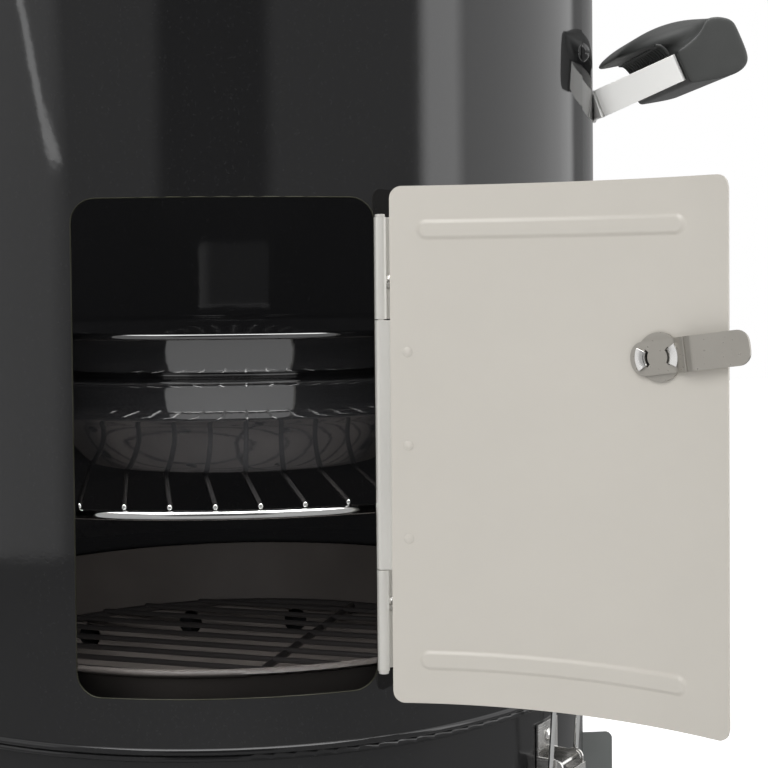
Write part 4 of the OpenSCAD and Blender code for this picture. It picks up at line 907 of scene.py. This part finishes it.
class SMOKER_OT_door(bpy.types.Operator):
    """Rolls the door's sheet with its two softly pressed ribs"""

    bl_idname = "smoker.door"
    bl_label = "Door"

    def execute(self, context):
        s = context.scene.smoker_door
        hinge = joint("door_hinge")
        axis = Vector((*hinge["pos_m"][:2], 0))
        opened = Matrix.Translation(axis) @ Matrix.Rotation(math.radians(-hinge["range_deg"][0]), 4, "Z")
        opened = opened @ Matrix.Translation(-axis)
        low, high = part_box("door_panel")
        z0, z1 = low.z / MM, high.z / MM
        shut = [opened.inverted() @ v.co for v in NODES["door_panel"].data.vertices]
        bearings = [math.atan2(p.x, -p.y) for p in shut]
        radius = max(Vector((p.x, p.y)).length for p in shut) / MM - s.sheet
        left, right = min(bearings), max(bearings)
        width = (right - left) * radius
        ribs = (z0 + s.rib_inset, z1 - s.rib_inset)
        near, far, shoulder = width - s.rib_near, s.rib_far, 1.9

        def relief(x, z):
            """Depth of the pressed ribs at a place, with soft shoulders and round ends."""
            depth = 0.0
            for middle in ribs:
                inner = s.rib_width / 2
                end = min(max(x, far + inner), near - inner)
                gap = math.hypot(x - end, z - middle)
                depth = max(depth, smooth((inner + 0.5 - gap) / shoulder))
            return depth * s.rib_depth

        columns = spaced(0, width, 5.0, 0.7, (0, far + 2, near - 2, width), 5.5)
        rows = spaced(0, z1 - z0, 6.0, 0.6, (0, s.rib_inset, z1 - z0 - s.rib_inset, z1 - z0), 6.0)
        rings = []
        for x in columns:
            side = min(x, width - x)
            short = max(0.0, s.corner - side)
            cut = s.corner - math.sqrt(max(0.0, s.corner**2 - short**2))
            turn = left + x / radius
            front, back = [], []
            for row in rows:
                z = min(max(z0 + row, z0 + cut), z1 - cut)
                r = radius - relief(x, z)
                front.append((r * math.sin(turn), -r * math.cos(turn), z))
                r += s.sheet
                back.append((r * math.sin(turn), -r * math.cos(turn), z))
            rings.append(front + back[::-1])
        door = loft("door_skin", rings, MATERIALS["door_steel"], opened)
        stand_for(soften(door, 0.22, 2, 60), "door", "door_steel", "door_panel")
        return {"FINISHED"}


class SMOKER_OT_latch(bpy.types.Operator):
    """Makes the latch's stepped tongue, the bent prongs in its slots and the outside wing"""

    bl_idname = "smoker.latch"
    bl_label = "Door latch"

    def execute(self, context):
        s = context.scene.smoker_latch
        turn = joint("door_latch_turn")
        tilt = math.radians(90 + turn["range_deg"][0])
        at = facing(Vector(turn["pos_m"]), turn["axis"], -tilt)
        plate, half = MATERIALS["latch_steel"], s.width / 2
        face = -s.face
        straight, root, tip, crease = 6.0, 8.0, 6.0, -16.2

        def edge(x):
            """Half width at a place along the tongue, with a round root and tip."""
            if x > straight:
                return math.sqrt(max(0.0, 1 - ((x - straight) / root) ** 2.6)) * half
            if x < tip - s.reach:
                return half - tip + math.sqrt(max(0.0, tip**2 - (tip - s.reach - x) ** 2))
            return half

        def height(x):
            """The face's height along the tongue: flat, a joggle with a sharp crease, and flat."""
            soft, steep = smooth((-x - 8.6) / 4.4), min(1.0, max(0.0, (-x - 11.0) / 9.5))
            ridge = 0.75 * max(0.0, 1 - abs(x - crease) / 0.55)
            return face - s.set_in * (soft * 0.34 + steep * 0.66) + ridge

        end = straight + root
        rings = []
        for x in spaced(-s.reach, end, 1.3, 0.25, (-s.reach, crease, end), 1.6):
            w, z = max(edge(x), 0.4), height(x)
            back = z + s.sheet - max(0.0, z - height(x - 0.01))
            ys = [w * (k / 4 - 1) for k in range(9)]
            rings.append([(x, y, z) for y in ys] + [(x, y, back) for y in ys[::-1]])
        tongue = loft("latch_plate", rings, plate, at)
        for side in (0, 180):
            outline = arc((0, 0), s.slot_radius + s.slot_width / 2, side - 37, side + 37, 13)
            outline += arc((0, 0), s.slot_radius - s.slot_width / 2, side + 34, side - 34, 13)
            cutter = loft("slot", [[(x, y, z) for x, y in outline] for z in (face - 3, face + 4)], plate, at)
            cut = tongue.modifiers.new("Slot", "BOOLEAN")
            cut.operation, cut.solver, cut.object = "DIFFERENCE", "EXACT", cutter
            applied(tongue)
            bpy.data.objects.remove(cutter)
        stand_for(soften(tongue, 0.25, 2, 50), "door_latch", "plated_steel", "latch_tongue")

        prongs = []
        bend = [(0.5, 0.9), (0.5, 0.0), (0.75, -0.55), (1.3, -0.85), (5.0, -0.85)]
        for side in (0, 180):
            rows = []
            for out, down in bend:
                line = arc((0, 0), s.slot_radius + out, side - 30, side + 30, 9)
                rows.append([(x, y, face + down) for x, y in line])
            leaf = loft("prong", rows, MATERIALS["prong_steel"], at, closed=False, capped=False)
            wall = leaf.modifiers.new("Wall", "SOLIDIFY")
            wall.thickness, wall.offset = 0.9 * MM, 0.0
            prongs.append(soften(applied(leaf), 0.2, 2, 50))
        stand_for(join("latch_prongs", prongs), "door_latch", "plated_steel")

        grip = MATERIALS["moulded_plastic"]
        base, sections = s.sheet + 1.6, []
        for k in range(33):
            x = s.wing_length / 2 * math.sin(math.radians(-90 + 180 * k / 32))
            share = abs(2 * x / s.wing_length)
            rise = base + (s.wing_out - base) * (1 - share**3.4) ** (1 / 3.4) if share < 1 else base + 0.5
            thick = 4.2 - 1.6 * (1 - share**2) ** 0.5
            waist = base + (rise - base) * 0.55
            flank = [(thick, base), (thick, waist), (thick + 0.4, rise - 1.6), (thick - 0.9, rise)]
            sections.append([(x, -y, z) for y, z in flank] + [(x, y, z) for y, z in flank[::-1]])
        wing = soften(loft("wing_blade", sections, grip, at), 0.6, 2, 35)
        disc = ((0.3, 1.7), (9.4, 1.7), (10.0, 2.1), (10.0, 4.6), (9.2, 5.4), (7.0, 5.8), (0.3, 5.9))
        stub = ((6.9, -1.8), (6.9, 2.4), (0.3, 2.4))
        rounds = []
        for name, profile in (("wing_boss", disc), ("wing_shaft", stub)):
            rings = [[(x, y, z) for x, y in arc((0, 0), r, 0, 352.5, 48)] for r, z in profile]
            rounds.append(loft(name, rings, grip, at))
        stand_for(join("latch_knob", [wing] + rounds), "door_latch", "moulded_plastic", "latch_wing")
        return {"FINISHED"}


# Outlines of a grip's section at its ends and at its hooded middle: out along the arms, and up
GRIP_END = [
    (57.95, -11.6), (57.95, -4), (57.95, 8.6), (59.5, 9.4), (65, 10.5), (69, 11.4),
    (73.5, 12.9), (76.5, 14.6), (79, 16.3), (81.3, 18), (83.5, 19.3), (85.5, 19.5),
    (87.2, 19.2), (89, 18.6), (91.4, 17.6), (95.4, 15), (98, 11.8), (98.5, 8),
    (98.5, -8), (97.1, -13.6), (93, -17), (84.6, -18.3), (70, -14.8), (61, -12.4),
]
GRIP_MIDDLE = [
    (57.95, -11.6), (57.95, -4), (57.95, 8.6), (57.4, 12.4), (56.2, 16.8), (50, 19.0),
    (41, 19.8), (34.8, 20.2), (32.4, 21.6), (34, 23.8), (40.6, 26.2), (48.8, 28),
    (59, 29), (71, 28.2), (82, 25.4), (91, 20), (97.2, 13.4), (98.5, 8),
    (98.5, -8), (97.1, -13.6), (93, -17), (84.6, -18.3), (70, -14.8), (61, -12.4),
]


class SMOKER_OT_side_handles(bpy.types.Operator):
    """Bends the side handles' straps and moulds their hooded, ribbed grips"""

    bl_idname = "smoker.side_handles"
    bl_label = "Side handles"

    def execute(self, context):
        s = context.scene.smoker_handle
        for side, name in ((90, "right"), (270, "left")):
            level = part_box(name + "_handle_strap")[0].z + s.foot / 2 * MM
            at = Matrix.Rotation(math.radians(side), 4, "Z") @ Matrix.Translation((0, -s.root * MM, level))
            at = at @ Matrix.Rotation(-s.rise, 4, "X") @ Matrix.Scale(-1, 4, (0, 1, 0))
            strap = self.strap(s, name, side, at, level)
            stand_for(strap, "stand", "plated_steel", name + "_handle_strap")
            grip = self.grip(s, name, at)
            stand_for(grip, "stand", "moulded_plastic", name + "_handle_grip")
            self.ribs(s, name, at)
        return {"FINISHED"}

    def strap(self, s, name, side, at, level):
        """The strap as one bent strip: foot, arm, cross bar, arm and foot."""
        mid = s.strap_sheet / 2
        reach = s.span / 2 - mid
        flat, turn = Matrix.Rotation(math.radians(side), 4, "Z"), at.to_3x3()
        arm_out, along, arm_up = (turn.col[i].normalized() for i in range(3))
        foot_bend, corner_bend, pull, clear = 7.0, 3.0, 1.25, 0.3
        foot_far, foot_near = reach - s.foot + 2, reach - foot_bend
        steps = []
        for k in range(7):
            x = foot_far + (foot_near - foot_far) * k / 6
            y = -math.sqrt((s.wall + mid + clear) ** 2 - x * x)
            out = Vector((x, y, 0)).normalized()
            steps.append((flat @ Vector((x, y, level / MM)), flat @ out, Vector((0, 0, 1))))
        start, foot_out, foot_up = steps[-1]
        bend_end = foot_bend + 6.5
        arm_start = at @ (Vector((reach, bend_end, 0)) * MM) / MM
        ahead = foot_out.cross(foot_up).normalized()
        if ahead.dot(arm_start - start) < 0:
            ahead = -ahead
        span = (arm_start - start).length
        for k in range(1, 10):
            t = k / 10
            h = (2 * t**3 - 3 * t**2 + 1, t**3 - 2 * t**2 + t, -2 * t**3 + 3 * t**2, t**3 - t**2)
            place = h[0] * start + h[1] * ahead * span * pull + h[2] * arm_start + h[3] * along * span * pull
            slope = (6 * t * t - 6 * t) * start + (3 * t * t - 4 * t + 1) * ahead * span * pull
            slope += (6 * t - 6 * t * t) * arm_start + (3 * t * t - 2 * t) * along * span * pull
            rough_up = foot_up.lerp(arm_up, smooth(t)).normalized()
            out = rough_up.cross(slope).normalized()
            if out.dot(foot_out.lerp(arm_out, t)) < 0:
                out = -out
            up = slope.cross(out)
            steps.append((place, out, up.normalized() * (1 if up.dot(rough_up) > 0 else -1)))
        far = s.reach - mid
        path = [(reach, bend_end, 1, 0), (reach, far - corner_bend - 4, 1, 0)]
        for x, y in arc((reach - corner_bend, far - corner_bend), corner_bend, 0, 90, 8):
            path.append((x, y, x - reach + corner_bend, y - far + corner_bend))
        path.append((0.0, far, 0, 1))
        for x, y, out_x, out_y in path:
            out = turn @ Vector((out_x, out_y, 0)).normalized()
            steps.append((at @ (Vector((x, y, 0)) * MM) / MM, out.normalized(), arm_up))
        rings = []
        for place, out, up in steps:
            w, t = up * s.strap_width / 2, out * mid
            rings.append([place - w - t, place + w - t, place + w + t, place - w + t])
        mirror = flat @ Matrix.Scale(-1, 4, (1, 0, 0)) @ flat.inverted()
        other = [[mirror @ p for p in ring] for ring in rings[:-1]][::-1]
        strap = loft(name + "_strap", rings + other, MATERIALS["strap_steel"])
        return soften(strap, 0.35, 2, 50)

    def grip(self, s, name, at):
        """A moulded bar whose middle swells into a crowned hood over the fingers."""
        half, swell = s.grip_length / 2, 33
        places = [-half, -half + 0.9, -half + 4, -52, -47, -41, -35, -28, -20, -10]
        places += [0] + [-x for x in places[::-1]]
        rings = []
        for x in places:
            share = smooth((half - abs(x)) / swell)
            ring = [Vector(end).lerp(Vector(middle), share) for end, middle in zip(GRIP_END, GRIP_MIDDLE)]
            rings.append([(x, a, b) for a, b in ring])
        grip = loft(name + "_grip", rings, MATERIALS["moulded_plastic"], at)
        turned_out(smooth_skin(grip).data, weld=False)
        return grip

    def ribs(self, s, name, at):
        """Finger ribs on the hollow inner side of a grip."""
        outline = [(0, 57.6, 9.6), (0, 56.9, 12.2), (0, 56.0, 14.8), (0, 54.6, 16.9), (0, 52.0, 18.3)]
        ribs = grown(name + "_grip_ribs", ribs_tree(), MATERIALS["moulded_plastic"],
                     line_mesh("rib", outline), Count=s.ribs, Pitch=s.rib_pitch * MM, Rib_Radius=1.1 * MM)
        ribs.data.transform(at)
        turned_out(ribs.data, weld=False)
        stand_for(ribs, "stand", "moulded_plastic")


class SMOKER_OT_lid_grip(bpy.types.Operator):
    """Moulds the lid's grip"""

    bl_idname = "smoker.lid_grip"
    bl_label = "Lid grip"

    def execute(self, context):
        low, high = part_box("lid_handle_grip")
        middle, half = (low + high) / 2, (high - low) / 2 / MM
        side = ((0, 0), (0.72, 0), (0.9, 0.06), (1, 0.3), (1, 0.58), (0.84, 0.86), (0.42, 1), (0, 1.02))
        section = [(-y, z) for y, z in side[2:0:-1]] + list(side) + [(-y, z) for y, z in side[6:2:-1]]
        rings = []
        for share in (-1, -0.985, -0.93, -0.8, -0.55, -0.2, 0.2, 0.55, 0.8, 0.93, 0.985, 1):
            inwards = smooth(1 - abs(share) / 0.8)
            waist, crown = 1 - 0.16 * inwards, 1 - 0.1 * inwards
            ring = []
            for y, z in section:
                rise = 2 * half.z * min(1.0, z) * (crown if z > 0.5 else 1)
                ring.append((share * half.x, y * half.y * waist, rise))
            rings.append(ring)
        at = Matrix.Translation((middle.x, middle.y, low.z))
        grip = loft("lid_grip", rings, MATERIALS["moulded_plastic"], at)
        stand_for(smooth_skin(grip), "cover", "moulded_plastic", "lid_handle_grip")
        return {"FINISHED"}


class SMOKER_OT_grates(bpy.types.Operator):
    """Lays the wires of the two cooking grates and the bars of the charcoal grate"""

    bl_idname = "smoker.grates"
    bl_label = "Grates"

    def execute(self, context):
        s = context.scene.smoker_grate
        tree = wires_tree()
        for name, body, turn in (("lower", "cook_grate_low", s.low_turn), ("upper", "cook_grate_high", 0.0)):
            ring, thick, height = self.ring(name + "_grate")
            wires = self.bars(name + "_wires", tree, "chrome_wire", ring - thick / 2, s.pitch, s.wire, height,
                              turn + math.pi / 2)
            stand_for(wires, body, "chrome_wire", name + "_grate")
        ring, thick, height = self.ring("charcoal_grate")
        bars = self.bars("charcoal_bars", tree, "enamel_grate", ring - thick / 2, s.bar_pitch, s.bar, height,
                         s.bar_turn)
        stand_for(bars, "fire_grate", "enamel_grate", "charcoal_grate")
        low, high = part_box("charcoal_grate_ring")
        cross = grown("charcoal_cross_bar", tree, MATERIALS["enamel_grate"], Ring_Radius=ring - thick - MM,
                      Pitch=MM, Count=1, Offset=-s.cross_offset * MM, Wire_Diameter=thick,
                      Height=(low.z + high.z) / 2, Turn=s.bar_turn + s.cross_turn)
        stand_for(cross, "fire_grate", "enamel_grate")
        return {"FINISHED"}

    def ring(self, grate):
        """Outside radius and thickness of a grate's ring, and the height of its wires."""
        low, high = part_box(grate + "_ring")
        bottom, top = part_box(grate)
        return high.x, high.z - low.z, (bottom.z + top.z) / 2

    def bars(self, name, tree, finish, radius, pitch, thick, height, turn):
        """Parallel bars that end on a ring, an odd number of them with one through its middle."""
        count = 2 * int((radius / MM - 4) / pitch) + 1
        return grown(name, tree, MATERIALS[finish], Ring_Radius=radius, Pitch=pitch * MM, Count=count,
                     Offset=0.0, Wire_Diameter=thick * MM, Height=height, Turn=turn)


class SMOKER_OT_water_pan(bpy.types.Operator):
    """Spins the water pan from its profile"""

    bl_idname = "smoker.water_pan"
    bl_label = "Water pan"

    def execute(self, context):
        s = context.scene.smoker_pan
        low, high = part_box("water_pan")
        rim, height = high.x / MM, (high.z - low.z) / MM
        outside = [
            (rim - 111, 0), (rim - 102, 1.2), (rim - 94, 6), (rim - 82, 15), (rim - 70, 24), (rim - 60, 30.5),
            (rim - 53.5, 34), (rim - 50.8, 37), (rim - 47, 53), (rim - 45.8, 55.2), (rim - 45.6, 56.4),
            (rim - 46.6, 57.8), (rim - 48.6, 58.8), (rim - 49, 60), (rim - 48, 62),
            (rim - 41.5, height - 5.2), (rim - 39, height - 3.2), (rim - 34, height - 2.6),
            (rim - 6, height - 2.4),
        ]
        curve = smooth_path(outside, 3)
        bead = arc((rim - s.bead, height - s.bead), s.bead, -110, 150, 14)
        inside = offset_path(curve, s.sheet)[::-1]
        profile = [(0, 0)] + curve + bead + inside + [(0, s.sheet)]
        pan = grown("water_bowl", revolved_tree(), MATERIALS["enamel_pan"],
                    line_mesh("pan profile", [(r - 1000, -z, 0) for r, z in profile]), Segments=s.segments)
        pan.data.transform(Matrix.Translation((0, 0, low.z)))
        stand_for(pan, "water_bowl", "enamel_pan", "water_pan")
        return {"FINISHED"}


class SMOKER_OT_opening_edge(bpy.types.Operator):
    """Runs the bare cut edge round the fuel opening"""

    bl_idname = "smoker.opening_edge"
    bl_label = "Opening's edge"

    def execute(self, context):
        s = context.scene.smoker_opening
        outline = []
        half = s.width / 2
        for x, z, start in ((half, s.high, 0), (-half, s.high, 90), (-half, s.low, 180), (half, s.low, 270)):
            middle = (x - math.copysign(s.corner, x), z - s.corner if start < 180 else z + s.corner)
            outline += arc(middle, s.corner, start, start + 90, 12)
        points = []
        for (x, z), (next_x, next_z) in zip(outline, outline[1:] + outline[:1]):
            steps = 10 if math.hypot(next_x - x, next_z - z) > 20 else 1
            for k in range(steps):
                share = k / steps
                turn = math.asin((x + (next_x - x) * share) / s.wall) + s.middle
                level = z + (next_z - z) * share
                points.append((s.wall * math.sin(turn), -s.wall * math.cos(turn), level))
        edge = grown("opening_edge", trim_tree(), MATERIALS["cut_edge"], line_mesh("edge", points, True),
                     Bead_Radius=s.bead * MM)
        stand_for(edge, "stand", "plated_steel")
        return {"FINISHED"}


class SMOKER_OT_dial(bpy.types.Operator):
    """Prints the thermometer's marks and numbers"""

    bl_idname = "smoker.dial"
    bl_label = "Dial"

    def execute(self, context):
        needle = joint("needle_turn")
        out = Vector(needle["axis"])
        plates = [v.co.dot(out) for v in NODES["thermometer_dial"].data.vertices]
        centre = Vector(needle["pos_m"])
        face = max(plates) - centre.dot(out)
        at = facing(centre, out) @ Matrix.Translation((0, 0, face + 0.1 * MM))
        ink, start, sweep, number_ring, last = MATERIALS["dial_ink"], -40, 260, 19.6, 6
        tree, marks = ticks_tree(), []
        rows = (("Fine", 61, 26.2, 2.2, 0.35), ("Main", 13, 25.6, 3.6, 0.7))
        for label, count, radius, length, width in rows:
            marks.append(grown(label + " marks", tree, ink, smoothed=False, Count=count, Radius=radius * MM,
                               Length=length * MM, Width=width * MM, Thickness=0.1 * MM,
                               Start=math.radians(start), Sweep=math.radians(sweep)))
            marks[-1].data.transform(at)
        for k in range(last + 1):
            turn = math.radians(start + sweep * (1 - k / last))
            text = bpy.data.curves.new("number", "FONT")
            text.body, text.size, text.extrude = str(50 * k), 5.2 * MM, 0.04 * MM
            text.align_x, text.align_y = "CENTER", "CENTER"
            word = link(bpy.data.objects.new("number", text))
            bpy.context.view_layer.update()
            graph = bpy.context.evaluated_depsgraph_get()
            data = bpy.data.meshes.new_from_object(word.evaluated_get(graph), depsgraph=graph)
            bpy.data.objects.remove(word)
            place = Vector((math.cos(turn), math.sin(turn), 0)) * number_ring * MM
            data.transform(at @ Matrix.Translation(place))
            data.materials.clear()
            data.materials.append(ink)
            marks.append(link(bpy.data.objects.new("number", data)))
        stand_for(join("dial_print", marks), "cover", "gauge_dial")
        return {"FINISHED"}


class SMOKER_PT_panel(bpy.types.Panel):
    """Lists the smoker's operators and settings"""

    bl_label = "Charcoal water smoker"
    bl_idname = "SMOKER_PT_panel"
    bl_space_type = "VIEW_3D"
    bl_region_type = "UI"
    bl_category = "Smoker"

    def draw(self, context):
        for name in STEPS:
            self.layout.operator("smoker." + name)
        for key in SETTINGS:
            group = getattr(context.scene, key)
            for prop in group.__annotations__:
                self.layout.prop(group, prop)


STEPS = (
    "finishes", "stage", "door", "latch", "side_handles",
    "lid_grip", "grates", "water_pan", "opening_edge", "dial",
)
SETTINGS = {
    "smoker_stage": StageSettings,
    "smoker_finish": FinishSettings,
    "smoker_door": DoorSettings,
    "smoker_latch": LatchSettings,
    "smoker_handle": HandleSettings,
    "smoker_grate": GrateSettings,
    "smoker_pan": PanSettings,
    "smoker_opening": OpeningSettings,
}
CLASSES = tuple(SETTINGS.values()) + (
    SMOKER_OT_finishes, SMOKER_OT_stage, SMOKER_OT_door, SMOKER_OT_latch, SMOKER_OT_side_handles,
    SMOKER_OT_lid_grip, SMOKER_OT_grates, SMOKER_OT_water_pan, SMOKER_OT_opening_edge, SMOKER_OT_dial,
    SMOKER_PT_panel,
)


def register():
    for cls in CLASSES:
        bpy.utils.register_class(cls)
    for key, cls in SETTINGS.items():
        setattr(bpy.types.Scene, key, PointerProperty(type=cls))


def unregister():
    for key in SETTINGS:
        delattr(bpy.types.Scene, key)
    for cls in reversed(CLASSES):
        bpy.utils.unregister_class(cls)


def main():
    register()
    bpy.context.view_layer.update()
    for name in STEPS:
        getattr(bpy.ops.smoker, name)()
    bpy.context.view_layer.update()


if __name__ == "__main__":
    main()
